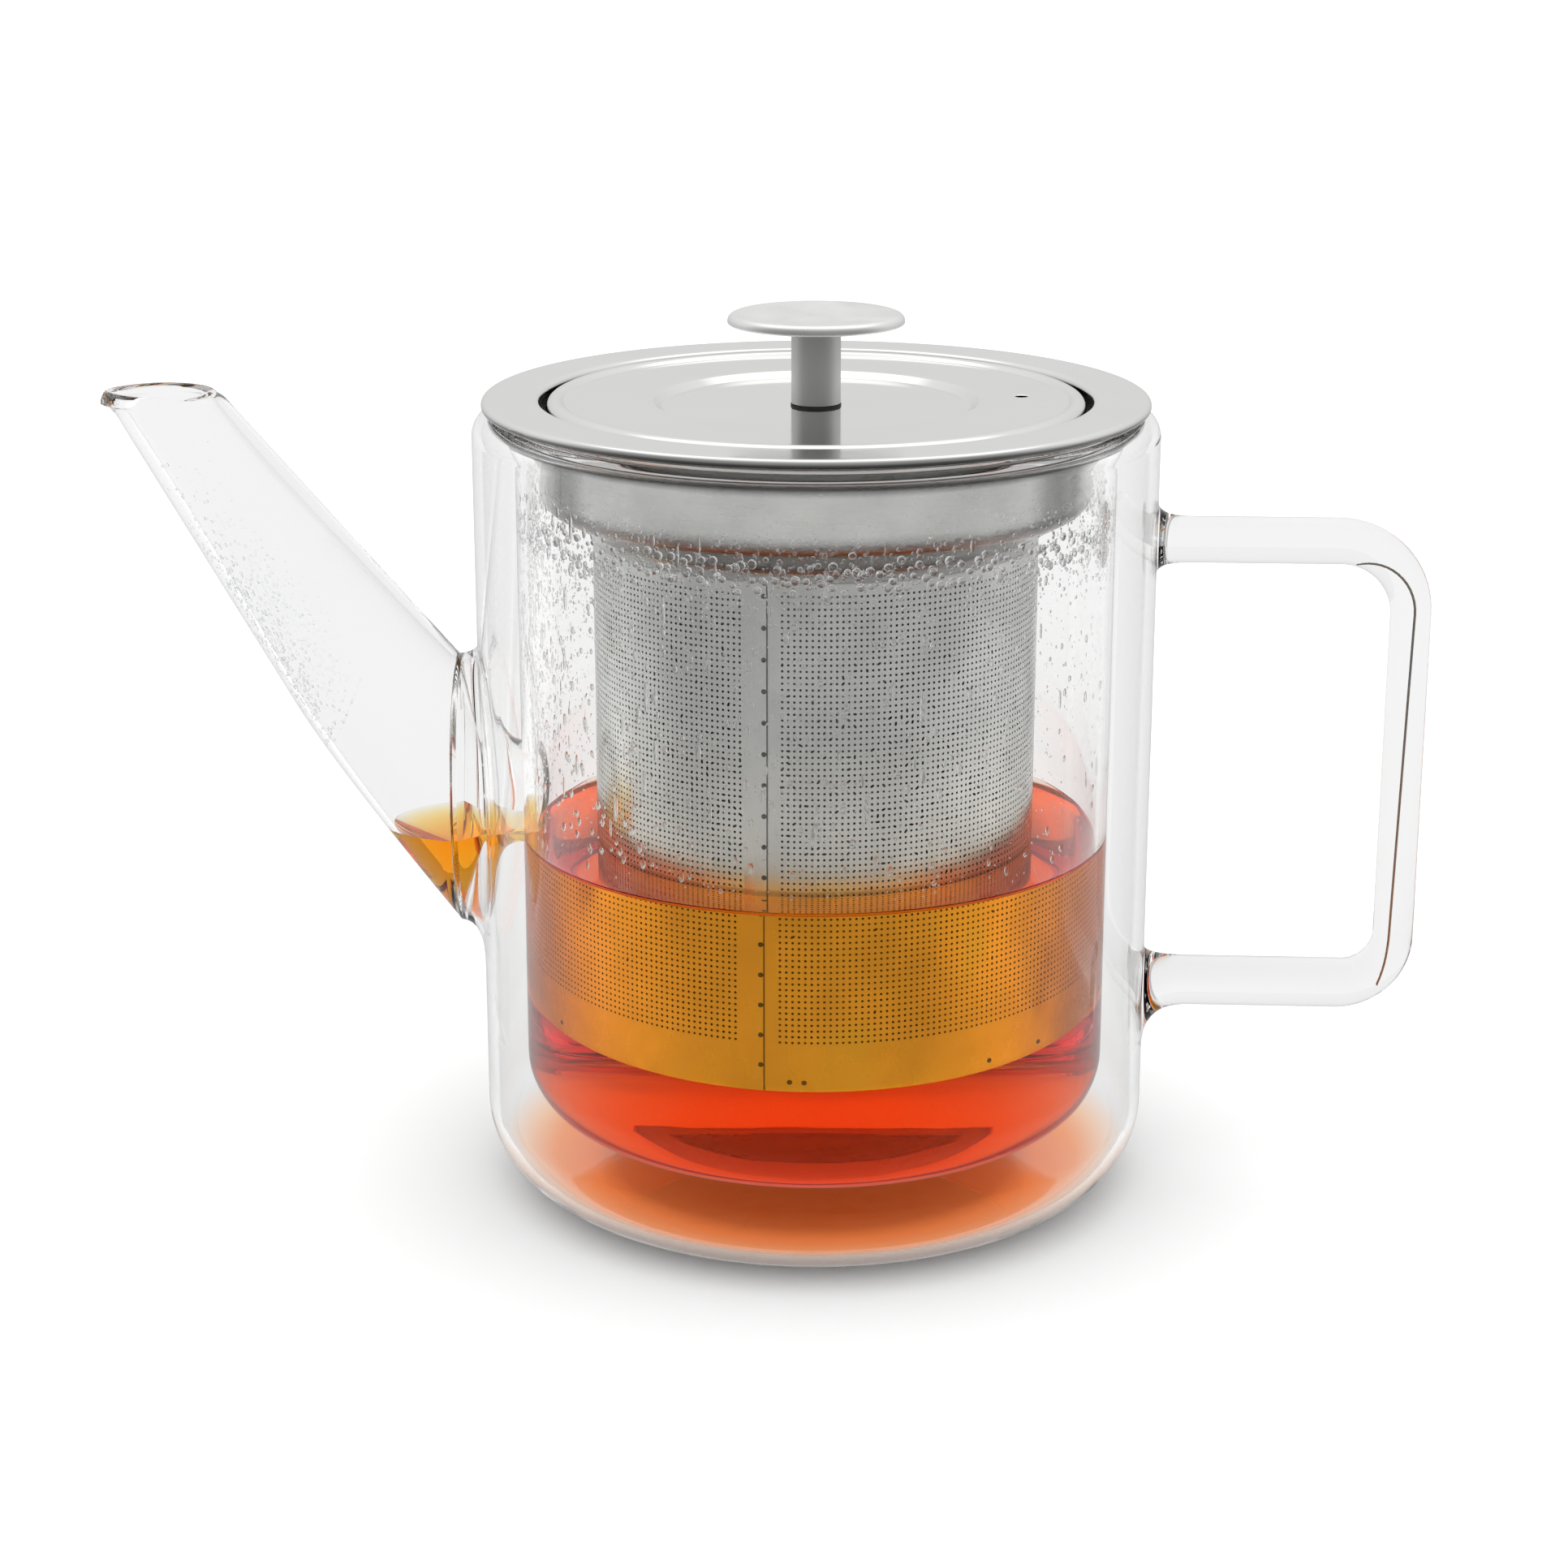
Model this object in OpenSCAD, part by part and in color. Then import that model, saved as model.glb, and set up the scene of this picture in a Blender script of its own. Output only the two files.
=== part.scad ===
// Double-walled glass teapot with a drop-in steel filter and a lift-out steel lid.
// +Z is up, +X points to the handle, -X to the spout. The origin is the middle of the base.

/* [Glass body] */
// Outer radius of the body
body_r = 65; // [64.8:0.1:65.4]
// Wall thickness of the blown glass
glass_t = 2; // [1.8:0.1:2.2]
// Height of the glass rim that carries the filter collar
rim_z = 154.7; // [154.7:0.1:156]
// Height where the straight outer wall turns into the shoulder
shoulder_z = 148.6; // [147:0.1:149]
// Radius of the shoulder
shoulder_r = 4; // [3.5:0.1:4]
// Radius of the outer bottom edge
foot_r = 16; // [14:1:18]
// Outer radius of the inner vessel
vessel_r = 57; // [56.8:0.1:57.4]
// Height of the inner vessel's underside
vessel_z = 14.1; // [12:0.1:16]
// Radius of the inner vessel's bottom edge
vessel_edge_r = 12; // [10:1:14]
// Radius of the seal button in the base
seal_r = 5; // [4:0.5:7]

/* [Spout] */
// Height of the middle of the spout's joint on the body
joint_z = 76.8; // [76:0.1:78]
// Half height of the joint
joint_half_h = 27; // [26:0.5:28]
// Half width of the joint
joint_half_w = 15.5; // [15:0.1:16]
// Distance of the joint's flat face from the body's axis
joint_x = 69.5; // [69:0.1:71]
// Radius of the round hole from the inner vessel into the spout
port_r = 8.25; // [7.5:0.05:8.5]
// Height of the middle of that hole
port_z = 76.4; // [75:0.1:78]
// Distance of the pouring lip from the body's axis
lip_x = 136.9; // [134:0.1:140]
// Height of the pouring lip
lip_z = 153.4; // [151:0.1:154]
// Height of the spout's mouth on the side next to the body
mouth_z = 155.2; // [154:0.1:157]
// Distance of the mouth's inner side from the body's axis
mouth_x = 114.4; // [113:0.1:116]
// Half width of the mouth
mouth_half_w = 9.2; // [8.5:0.1:10]

/* [Handle] */
// Height of the upper arm's centre line
handle_top_z = 128.3; // [124:0.1:130]
// Height of the lower arm's centre line
handle_low_z = 39.3; // [38:0.1:42]
// Distance of the grip's centre line from the body's axis
grip_x = 113.6; // [108:0.1:118]
// Radius of the rod in the upper arm
arm_r = 4.45; // [4:0.05:5]
// Radius of the rod in the grip
grip_r = 3.9; // [3.5:0.1:4.5]
// Radius of the rod in the lower arm
low_arm_r = 4.9; // [4.5:0.1:5.2]
// Bend radius of the upper corner's centre line
top_bend_r = 14; // [12:0.5:16]
// Bend radius of the lower corner's centre line
low_bend_r = 10.5; // [9:0.5:12]
// Half height of the upper joint on the glass
top_pad_r = 6.9; // [6:0.1:8]
// Half height of the lower joint on the glass
low_pad_r = 9.9; // [8:0.1:10.5]

/* [Filter] */
// Radius of the collar that covers the glass rim
collar_r = 63.1; // [62.6:0.1:64]
// Height of the collar's top face
collar_z = 155.4; // [155.4:0.1:155.8]
// Sheet thickness of the collar
collar_t = 0.7; // [0.6:0.1:0.7]
// Outer radius of the smooth neck
neck_r = 52.6; // [52.5:0.1:53]
// Sheet thickness of the neck
neck_t = 0.5; // [0.4:0.1:0.6]
// Height where the neck's wall turns inwards
neck_low_z = 139.8; // [138:0.1:141]
// Outer radius of the perforated sleeve
sleeve_r = 42.5; // [42:0.1:43]
// Sheet thickness of the sleeve
sleeve_t = 0.4; // [0.3:0.1:0.5]
// Height of the sleeve's top edge
sleeve_top_z = 129.4; // [129:0.1:129.5]
// Height of the sleeve's bottom edge
sleeve_low_z = 33; // [28:0.5:40]

/* [Lid] */
// Outer radius of the lid
lid_r = 51; // [50.6:0.1:51.4]
// Sheet thickness of the lid
lid_t = 0.6; // [0.5:0.1:0.7]
// Radius of the shallow recess in the middle
recess_r = 30.6; // [26:0.1:34]
// Height of the recess floor
recess_z = 153.4; // [153:0.1:153.8]
// Height of the flat ring around the recess
ring_z = 154.6; // [154.4:0.1:154.8]
// Height of the ledge that the lid's edge rests on
ledge_z = 150.4; // [149:0.1:151]
// Outer radius of the locating skirt under the lid
skirt_r = 47.9; // [46:0.1:48]
// Height of the skirt's bottom edge
skirt_low_z = 144; // [142:0.5:147]
// Radius of the steam vent
vent_r = 1.25; // [1:0.05:2]
// Distance of the vent from the axis
vent_x = 38.8; // [36:0.1:42]

/* [Knob] */
// Radius of the knob's disc
disc_r = 16.7; // [14:0.1:20]
// Height of the disc's top face
disc_z = 170.8; // [168:0.1:176]
// Thickness of the disc
disc_t = 1.9; // [1.6:0.1:3]
// Radius of the stem
stem_r = 4.68; // [4.4:0.01:6]
// Thickness of the washer under the stem
stem_washer_t = 0.35; // [0.3:0.05:0.6]
// Shank radius of the knob's screw
screw_r = 1.8; // [1.5:0.1:2]

/* [Hidden] */
$fn = 96;

glass_colour = [0.80, 0.88, 0.88, 0.45];
steel_colour = [0.78, 0.78, 0.77];
bore_r = vessel_r - glass_t;
weld_gap = 0.05;

// Wall shares of the three glass pieces that meet in the spout's joint.
socket_t = 1.2;
funnel_t = 1;
joint_wall = socket_t + funnel_t;
funnel_end_x = joint_x - 0.1;
cut_depth = 20;

// Lower edge of the spout: the lip, the straight stretch, then the sweep into the joint.
lip_root = [-133.6, 150.4];
sweep_start = [-101, 93.6];
sweep_pull = [-93.5, 80.6];

rod_sides = 32;
spout_sides = 48;
spout_rings = 22;
funnel_rings = 10;
bend_rings = 10;
pad_rings = 6;

roll_r = 1;
lip_r = 1.1;
knuckle_r = 5;
knuckle_turn = 60;
waist_r = 3;
spigot_drop = 2.5;
base_lift = 0.3;
base_flange_h = 3.7;
shank_clear = 0.25;
stem_z = recess_z + stem_washer_t;
screw_top_z = stem_z + 8.5;
washer_t = 0.5;
washer_r = 5;
head_r = 3.8;
head_h = 2.2;

// Points of an arc in the profile plane, from angle a to angle b.
function arc(x, z, r, a, b, n = 16) = [for (i = [0:n]) [x + r * cos(a + (b - a) * i / n), z + r * sin(a + (b - a) * i / n)]];
function mix(a, b, t) = a + (b - a) * t;
function bow(a, b, c, t) = mix(mix(a, b, t), mix(b, c, t), t);
function ellipse(w, h, n = 72) = [for (i = [0:n - 1]) [w * cos(360 * i / n), h * sin(360 * i / n)]];

// Faces of a tube wall made of rings: the outer rings first, then the inner rings in the same order.
function ring_faces(rings, n, start, flip) = [for (k = [0:rings - 2], i = [0:n - 1])
    let (a = start + k * n + i, b = start + k * n + (i + 1) % n)
    flip ? [a, a + n, b + n, b] : [a, b, b + n, a + n]];
function end_faces(n, outer, inner, flip) = [for (i = [0:n - 1])
    let (j = (i + 1) % n)
    flip ? [outer + i, inner + i, inner + j, outer + j] : [outer + i, outer + j, inner + j, inner + i]];
module tube_wall(outer, inner) {
    rings = len(outer);
    n = len(outer[0]);
    points = [for (ring = outer) each ring, for (ring = inner) each ring];
    shift = rings * n;
    last = (rings - 1) * n;
    faces = [each ring_faces(rings, n, 0, false), each ring_faces(rings, n, shift, true),
        each end_faces(n, 0, shift, true), each end_faces(n, last, shift + last, false)];
    polyhedron(points, faces, convexity = 6);
}

// Spout: each ring spans from the lower edge to the upper edge.
function lower_edge(t) = t < 0.06 ? mix([-lip_x, lip_z], lip_root, t / 0.06)
    : t < 0.6 ? mix(lip_root, sweep_start, (t - 0.06) / 0.54)
    : bow(sweep_start, sweep_pull, [-joint_x, joint_z - joint_half_h], (t - 0.6) / 0.4);
function upper_edge(t) = mix([-mouth_x, mouth_z], [-joint_x, joint_z + joint_half_h], t);
function spout_ring(t, inset) = let (low = lower_edge(t), top = upper_edge(t), mid = (low + top) / 2,
        half = (top - low) / 2, shrink = 1 - inset * mix(1.2, 1, t) / norm(half),
        w = mix(mouth_half_w, joint_half_w, t) - inset)
    [for (i = [0:spout_sides - 1]) let (a = 360 * i / spout_sides)
        [mid[0] + half[0] * shrink * cos(a), w * sin(a), mid[1] + half[1] * shrink * cos(a)]];
module spout() {
    steps = [for (k = [0:spout_rings]) k / spout_rings];
    color(glass_colour) translate([-weld_gap, 0, 0])
        tube_wall([for (t = steps) spout_ring(t, 0)], [for (t = steps) spout_ring(t, mix(1.8, joint_wall, t))]);
}

// Funnel between the two walls: it starts on the vessel's round wall and flares to the joint's flat face.
function funnel_ring(s, wall) = let (flare = s * s,
        h = mix(port_r + glass_t - wall * glass_t / funnel_t, joint_half_h - socket_t - weld_gap - wall, flare),
        w = mix(port_r + glass_t - wall * glass_t / funnel_t, joint_half_w - socket_t - weld_gap - wall, flare),
        z = mix(port_z, joint_z, flare))
    [for (i = [0:spout_sides - 1]) let (a = 360 * i / spout_sides, y = w * sin(a),
            round_x = sqrt(pow(vessel_r + weld_gap, 2) - y * y))
        [-mix(round_x, funnel_end_x, s), y, z + h * cos(a)]];
module spout_funnel() {
    steps = [for (k = [0:funnel_rings]) k / funnel_rings];
    color(glass_colour)
        tube_wall([for (s = steps) funnel_ring(1 - s, 0)], [for (s = steps) funnel_ring(1 - s, funnel_t)]);
}

// Short socket that is pulled out of the outer wall to meet the spout.
module joint_prism(inset, depth) {
    translate([-joint_x, 0, joint_z]) rotate([90, 0, 90]) linear_extrude(depth)
        polygon(ellipse(joint_half_w - inset, joint_half_h - inset));
}
module spout_socket() {
    color(glass_colour) difference() {
        joint_prism(0, cut_depth / 2);
        translate([-1, 0, 0]) joint_prism(socket_t, cut_depth);
        cylinder(r = body_r, h = rim_z, $fn = 192);
    }
}

module outer_glass() {
    foot_x = body_r - foot_r;
    crown_x = body_r - shoulder_r;
    inner_foot_r = foot_r - glass_t;
    color(glass_colour) difference() {
        rotate_extrude($fn = 192) polygon([
            [seal_r, 0],
            each arc(foot_x, foot_r, foot_r, -90, 0),
            each arc(crown_x, shoulder_z, shoulder_r, 0, 90),
            [crown_x - 1.2, rim_z - 1.4], [crown_x - 1.4, rim_z - 0.6], [crown_x - 2, rim_z],
            [vessel_r, rim_z], [vessel_r, rim_z - 3.6],
            each arc(crown_x, shoulder_z, shoulder_r - glass_t, 90, 0),
            each arc(foot_x, foot_r, inner_foot_r, 0, -90),
            [seal_r, glass_t]
        ]);
        translate([-1, 0, 0]) joint_prism(socket_t, cut_depth);
    }
}

module inner_glass() {
    edge_x = vessel_r - vessel_edge_r;
    edge_z = vessel_z + vessel_edge_r;
    color(glass_colour) difference() {
        rotate_extrude($fn = 192) polygon([
            [0, vessel_z],
            each arc(edge_x, edge_z, vessel_edge_r, -90, 0),
            [vessel_r, rim_z],
            each arc(bore_r + 1, rim_z - 1, 1, 90, 180, 6),
            each arc(edge_x, edge_z, vessel_edge_r - glass_t, 0, -90),
            [0, vessel_z + glass_t]
        ]);
        translate([-vessel_r - 1, 0, port_z]) rotate([0, 90, 0]) cylinder(r = port_r, h = cut_depth);
    }
}

module base_seal() {
    color(glass_colour) {
        cylinder(r = seal_r, h = glass_t);
        translate([0, 0, glass_t]) cylinder(r = seal_r + 1.5, h = 1.2);
    }
}

// Handle: a bent glass rod whose ends flare where they are fused to the wall.
// A station is [x, z, heading, rod radius across, rod radius in the bend plane, share of roundness].
arm_start_x = body_r + 6;
arm_stations = [for (k = [0:pad_rings]) let (s = k / pad_rings, fade = pow(1 - s, 3))
    [mix(body_r + weld_gap, arm_start_x, s), handle_top_z + 0.3 * fade, 0, mix(arm_r, top_pad_r, fade), 1 - s]];
top_stations = [for (k = [0:bend_rings]) let (s = k / bend_rings)
    [grip_x - top_bend_r + top_bend_r * sin(90 * s), handle_top_z - top_bend_r + top_bend_r * cos(90 * s),
        -90 * s, mix(arm_r, grip_r, s), 0]];
low_stations = [for (k = [0:bend_rings]) let (s = k / bend_rings)
    [grip_x - low_bend_r + low_bend_r * cos(90 * s), handle_low_z + low_bend_r - low_bend_r * sin(90 * s),
        -90 - 90 * s, mix(grip_r, low_arm_r, s), 0]];
foot_stations = [for (k = [0:pad_rings]) let (s = k / pad_rings, fade = pow(s, 3))
    [mix(arm_start_x + 3, body_r + weld_gap, s), handle_low_z - 3.2 * fade, -180, mix(low_arm_r, low_pad_r, fade), s]];
stations = [each arm_stations, each top_stations, each low_stations, each foot_stations];
// The two end rings bend round the body; wrap says how much of that curve a ring follows.
// Their caps are made of upright strips, which lie on the round wall.
function cap_faces(n, start, flip) = [for (i = [0:n / 2 - 1])
    let (a = start + i, b = start + i + 1, c = start + n - i - 1, d = start + (n - i) % n,
        strip = i == 0 ? [a, b, c] : i == n / 2 - 1 ? [a, b, d] : [a, b, c, d])
    flip ? [for (k = [len(strip) - 1:-1:0]) strip[k]] : strip];
function rod_ring(p) = let (turn = p[2], r = p[3], wrap = p[4], across = mix(r, min(r, arm_r * 1.35), wrap))
    [for (i = [0:rod_sides - 1]) let (a = 360 * i / rod_sides, y = across * cos(a), out = r * sin(a),
            dip = wrap * (body_r - sqrt(body_r * body_r - y * y)))
        [p[0] - out * sin(turn) - dip, y, p[1] + out * cos(turn)]];
module handle() {
    rings = len(stations);
    n = rod_sides;
    last = (rings - 1) * n;
    points = [for (p = stations) each rod_ring(p)];
    faces = [each ring_faces(rings, n, 0, true), each cap_faces(n, 0, false), each cap_faces(n, last, true)];
    color(glass_colour) polyhedron(points, faces, convexity = 6);
}

// Steel filter
module filter_collar() {
    roll_x = collar_r - roll_r;
    inner_r = neck_r - neck_t;
    color(steel_colour) rotate_extrude($fn = 192) polygon([
        each arc(roll_x, collar_z - roll_r, roll_r, 90, -180, 24),
        [roll_x - roll_r, collar_z - collar_t],
        each arc(inner_r + lip_r, collar_z - lip_r, lip_r - collar_t, 90, 180, 8),
        [inner_r + collar_t, collar_z - lip_r - collar_t],
        [inner_r, collar_z - lip_r - collar_t],
        each arc(inner_r + lip_r, collar_z - lip_r, lip_r, 180, 90, 12)
    ]);
}

module filter_neck() {
    top_z = collar_z - lip_r - collar_t;
    turn_x = neck_r - knuckle_r;
    slope_start = [turn_x + knuckle_r * cos(knuckle_turn), neck_low_z - knuckle_r * sin(knuckle_turn)];
    waist_x = sleeve_r + waist_r;
    waist_end_x = waist_x - waist_r * cos(knuckle_turn);
    run = slope_start[0] - waist_end_x;
    waist_z = slope_start[1] - run / tan(knuckle_turn) - waist_r * sin(knuckle_turn);
    spigot_r = sleeve_r - sleeve_t - weld_gap;
    color(steel_colour) rotate_extrude($fn = 192) polygon([
        [neck_r, top_z],
        each arc(turn_x, neck_low_z, knuckle_r, 0, -knuckle_turn, 10),
        each arc(waist_x, waist_z, waist_r, 180 - knuckle_turn, 180, 8),
        [sleeve_r, sleeve_top_z], [spigot_r, sleeve_top_z],
        [spigot_r, sleeve_top_z - spigot_drop], [spigot_r - neck_t, sleeve_top_z - spigot_drop],
        [spigot_r - neck_t, waist_z],
        each arc(waist_x, waist_z, waist_x - spigot_r + neck_t, 180, 180 - knuckle_turn, 8),
        each arc(turn_x, neck_low_z, knuckle_r - neck_t, -knuckle_turn, 0, 10),
        [neck_r - neck_t, top_z]
    ]);
}

module ring(outer, inner, low, high) {
    translate([0, 0, low]) difference() {
        cylinder(r = outer, h = high - low, $fn = 192);
        translate([0, 0, -1]) cylinder(r = inner, h = high - low + 2, $fn = 192);
    }
}

module filter_sleeve() {
    color(steel_colour) ring(sleeve_r, sleeve_r - sleeve_t, sleeve_low_z, sleeve_top_z);
}

module filter_base() {
    flange_r = sleeve_r - sleeve_t;
    floor_z = sleeve_low_z + base_lift;
    color(steel_colour) {
        translate([0, 0, floor_z]) cylinder(r = flange_r, h = sleeve_t, $fn = 192);
        ring(flange_r, flange_r - sleeve_t, floor_z, floor_z + base_flange_h);
    }
}

// Ledge inside the neck that carries the lid's edge.
module lid_seat() {
    hole_r = skirt_r + 0.5;
    color(steel_colour) {
        ring(neck_r - neck_t, hole_r, ledge_z - lid_t, ledge_z);
        ring(hole_r + lid_t, hole_r, ledge_z - 3 * lid_t, ledge_z);
    }
}

// Lid
module lid_plate() {
    crest_z = collar_z;
    roll = crest_z - ring_z;
    color(steel_colour) difference() {
        rotate_extrude($fn = 192) polygon([
            [0, recess_z], [recess_r - 1.2, recess_z], [recess_r, ring_z],
            [lid_r - 1.8, ring_z], [lid_r - 1.2, crest_z],
            each arc(lid_r - roll, ring_z, roll, 90, 0, 8),
            [lid_r, ledge_z], [lid_r - lid_t, ledge_z],
            [lid_r - lid_t, ring_z], [lid_r - 1, crest_z - lid_t],
            [lid_r - 1.6, ring_z - lid_t], [recess_r + 0.2, ring_z - lid_t],
            [recess_r - 1, recess_z - lid_t], [0, recess_z - lid_t]
        ]);
        translate([0, 0, recess_z - 5]) cylinder(r = screw_r + shank_clear, h = 10);
        translate([vent_x, 4.8, recess_z - 5]) cylinder(r = vent_r, h = 10, $fn = 32);
    }
}

module lid_skirt() {
    color(steel_colour) ring(skirt_r, skirt_r - lid_t, skirt_low_z, ring_z - lid_t);
}

module stem_washer() {
    color([0.05, 0.05, 0.05]) ring(stem_r + 0.1, screw_r + shank_clear, recess_z, stem_z);
}

module knob_stem() {
    color([0.62, 0.62, 0.60]) difference() {
        translate([0, 0, stem_z]) cylinder(r = stem_r, h = disc_z - disc_t - stem_z);
        translate([0, 0, stem_z - 1]) cylinder(r = screw_r + 0.1, h = screw_top_z - stem_z + 2);
    }
}

module knob_disc() {
    edge = 0.35;
    color(steel_colour) translate([0, 0, disc_z - disc_t]) rotate_extrude($fn = 128) polygon([
        [0, 0], [disc_r - edge, 0],
        each arc(disc_r - edge, edge, edge, -90, 0, 4),
        each arc(disc_r - edge, disc_t - edge, edge, 0, 90, 4),
        [0, disc_t]
    ]);
}

module knob_washer() {
    under_z = recess_z - lid_t;
    color(steel_colour) ring(washer_r, screw_r + shank_clear, under_z - washer_t, under_z);
}

module knob_screw() {
    head_z = recess_z - lid_t - washer_t;
    color([0.55, 0.55, 0.55]) difference() {
        union() {
            translate([0, 0, head_z - head_h]) cylinder(r = head_r, h = head_h);
            translate([0, 0, head_z]) cylinder(r = screw_r, h = screw_top_z - head_z);
        }
        translate([0, 0, head_z - head_h - 1]) for (turn = [0, 90])
            rotate([0, 0, turn]) translate([-2.2, -0.4, 0]) cube([4.4, 0.8, 2]);
    }
}

outer_glass();
inner_glass();
spout_funnel();
spout_socket();
spout();
handle();
base_seal();
filter_collar();
filter_neck();
filter_sleeve();
filter_base();
lid_seat();
lid_plate();
lid_skirt();
stem_washer();
knob_stem();
knob_disc();
knob_washer();
knob_screw();
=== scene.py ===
"""Looks of the glass teapot: clear glass, tea, steel filter and lid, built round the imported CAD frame.

Lengths are millimetres until mesh_piece() turns them into metres. Materials and the studio use metres.
"""
import random
from math import atan2, cos, exp, hypot, pi, radians, remainder, sin, sqrt, tan
import bmesh
import bpy
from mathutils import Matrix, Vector

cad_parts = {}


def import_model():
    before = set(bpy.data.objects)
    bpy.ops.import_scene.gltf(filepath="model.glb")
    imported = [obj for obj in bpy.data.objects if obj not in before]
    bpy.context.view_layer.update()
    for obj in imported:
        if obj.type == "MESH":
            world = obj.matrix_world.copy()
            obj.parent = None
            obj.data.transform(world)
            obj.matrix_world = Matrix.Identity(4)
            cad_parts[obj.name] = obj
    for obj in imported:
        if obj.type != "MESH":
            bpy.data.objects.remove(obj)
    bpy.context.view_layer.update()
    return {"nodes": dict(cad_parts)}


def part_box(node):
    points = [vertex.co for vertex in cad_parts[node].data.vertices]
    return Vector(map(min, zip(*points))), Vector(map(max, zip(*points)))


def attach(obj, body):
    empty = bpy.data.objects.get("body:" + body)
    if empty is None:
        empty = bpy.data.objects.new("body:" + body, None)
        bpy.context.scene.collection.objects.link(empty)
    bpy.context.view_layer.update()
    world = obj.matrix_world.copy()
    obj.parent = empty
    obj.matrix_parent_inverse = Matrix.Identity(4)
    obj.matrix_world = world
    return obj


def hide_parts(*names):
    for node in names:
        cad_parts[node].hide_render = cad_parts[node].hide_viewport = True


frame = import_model()

MM = 0.001
TAU = 2 * pi
TINY = 1e-6
UP = Vector((0, 0, 1))


def span(node):
    """Lowest and highest corner of a CAD node, in millimetres."""
    low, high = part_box(node)
    return [v / MM for v in low], [v / MM for v in high]


# ---- Sizes, from the frame where it has them
BODY_R = span("inner_glass")[1][0] + 8
GLASS_T = 2
CAVITY_R = BODY_R - GLASS_T
VESSEL_R = span("inner_glass")[1][0]
BORE_R = VESSEL_R - GLASS_T
VESSEL_Z = span("inner_glass")[0][2]
RIM_Z = span("inner_glass")[1][2] - 0.05
FOOT_R = 16
FOOT_X = BODY_R - FOOT_R
VESSEL_EDGE_R = 12
EDGE_X = VESSEL_R - VESSEL_EDGE_R
EDGE_Z = VESSEL_Z + VESSEL_EDGE_R
FLOOR_DOME = 1.3
SHOULDER_R = 4
SHOULDER_Z = 148.6
CROWN_X = BODY_R - SHOULDER_R
WALL_LOW = 18
WALL_PITCH = 1.2
WALL_ROWS = 108
VESSEL_ROW = 8
COLUMNS = 240

# Roots, ports and joints on a wall are ovals: (half width, half height, middle height).
JOINT_X = 69.5
JOINT_Z = 76.8
JOINT_HALF_H = 27
JOINT_HALF_W = 15.5
JOINT_WALL = 2.2
JOINT_EDGE = 0.3
CREASE_X = JOINT_X - 1.1
SOCKET_ROOT = (JOINT_HALF_W + 4.5, 36, 73.4)
HOLLOW_ROOT = (JOINT_HALF_W + 2.4, 33, 74)
PORT_R = 8.25
PORT_Z = 76.4
FUNNEL_WALL = 1.7
PORT = (PORT_R, PORT_R, PORT_Z)
HOLLOW_PORT = (PORT_R + FUNNEL_WALL, PORT_R + FUNNEL_WALL, PORT_Z)

SPOUT_GAP = 0.06
LIP = (span("spout")[0][0] + 0.3, 153.3)
LIP_PULL = (-135.3, 152.4)
LIP_ROOT = (-133.7, 150.7)
LIP_T = 0.05
SWEEP_T = 0.6
SWEEP_START = (-101, 93.6)
SWEEP_PULL = (-93.5, 80.6)
MOUTH = (-114.4, 155.2)
MOUTH_HALF_W = 9.2
SPOUT_WALL = 1.8

HANDLE_TOP_Z = 128.3
HANDLE_LOW_Z = 39.3
GRIP_X = 113.6
ARM_R = 4.45
GRIP_R = 3.89
LOW_ARM_R = 4.9
TOP_BEND_R = 14
LOW_BEND_R = 10.5
TOP_ROOT = (6.3, 6.9, HANDLE_TOP_Z + 0.3)
LOW_ROOT = (6.6, 10.1, HANDLE_LOW_Z - 3.2)

COLLAR_R = span("filter_collar")[1][0]
COLLAR_Z = span("filter_collar")[1][2]
NECK_R = span("filter_neck")[1][0]
NECK_LOW_Z = 139.8
SLEEVE_R = 42.5
SLEEVE_LOW_Z = span("filter_sleeve")[0][2]
SLEEVE_TOP_Z = span("filter_sleeve")[1][2]
HOLE_ROWS = 74
HOLE_COLUMNS = 240
HOLE_LOW_Z = 42.2
HOLE_TOP_Z = 127.3
HOLE_R = 0.25
SEAM_ANGLE = radians(-99.3)
SEAM_LEFT = 4.4
SEAM_RIGHT = 2.3

LID_R = span("lid_plate")[1][0]
LID_RING_Z = 154.6
LID_RECESS_Z = 153.4
LID_T = 0.6
LEDGE_Z = span("lid_plate")[0][2]
VENT = (38.8, 4.8)
VENT_R = 1.25
STEM_R = 4.68
STEM_Z = span("knob_stem")[0][2]
DISC_R = span("knob_disc")[1][0]
DISC_LOW_Z = span("knob_disc")[0][2]
DISC_Z = span("knob_disc")[1][2]

TEA_Z = 70.0
TEA_INTO_GLASS = 0.12


# ---- Points and meshes
def mix(a, b, t):
    return a + (b - a) * t


def mix_points(a, b, t):
    return tuple(mix(p, q, t) for p, q in zip(a, b))


def shares(steps):
    """Even steps from 0 to 1."""
    return [k / steps for k in range(steps + 1)]


def turns(count):
    """Even steps round a circle."""
    return [TAU * k / count for k in range(count)]


def fade(t, reach):
    """One at 0, falling smoothly towards zero beyond the reach."""
    return exp(-(t / reach) ** 2)


def on_round(turn, z, r):
    return (r * cos(turn), r * sin(turn), z)


def arc(x, z, r, start, end, steps):
    """Points of a profile arc; angles in degrees."""
    angles = [radians(mix(start, end, s)) for s in shares(steps)]
    return [(x + r * cos(a), z + r * sin(a)) for a in angles]


def middle_of(ring):
    return tuple(sum(p[i] for p in ring) / len(ring) for i in range(3))


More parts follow.
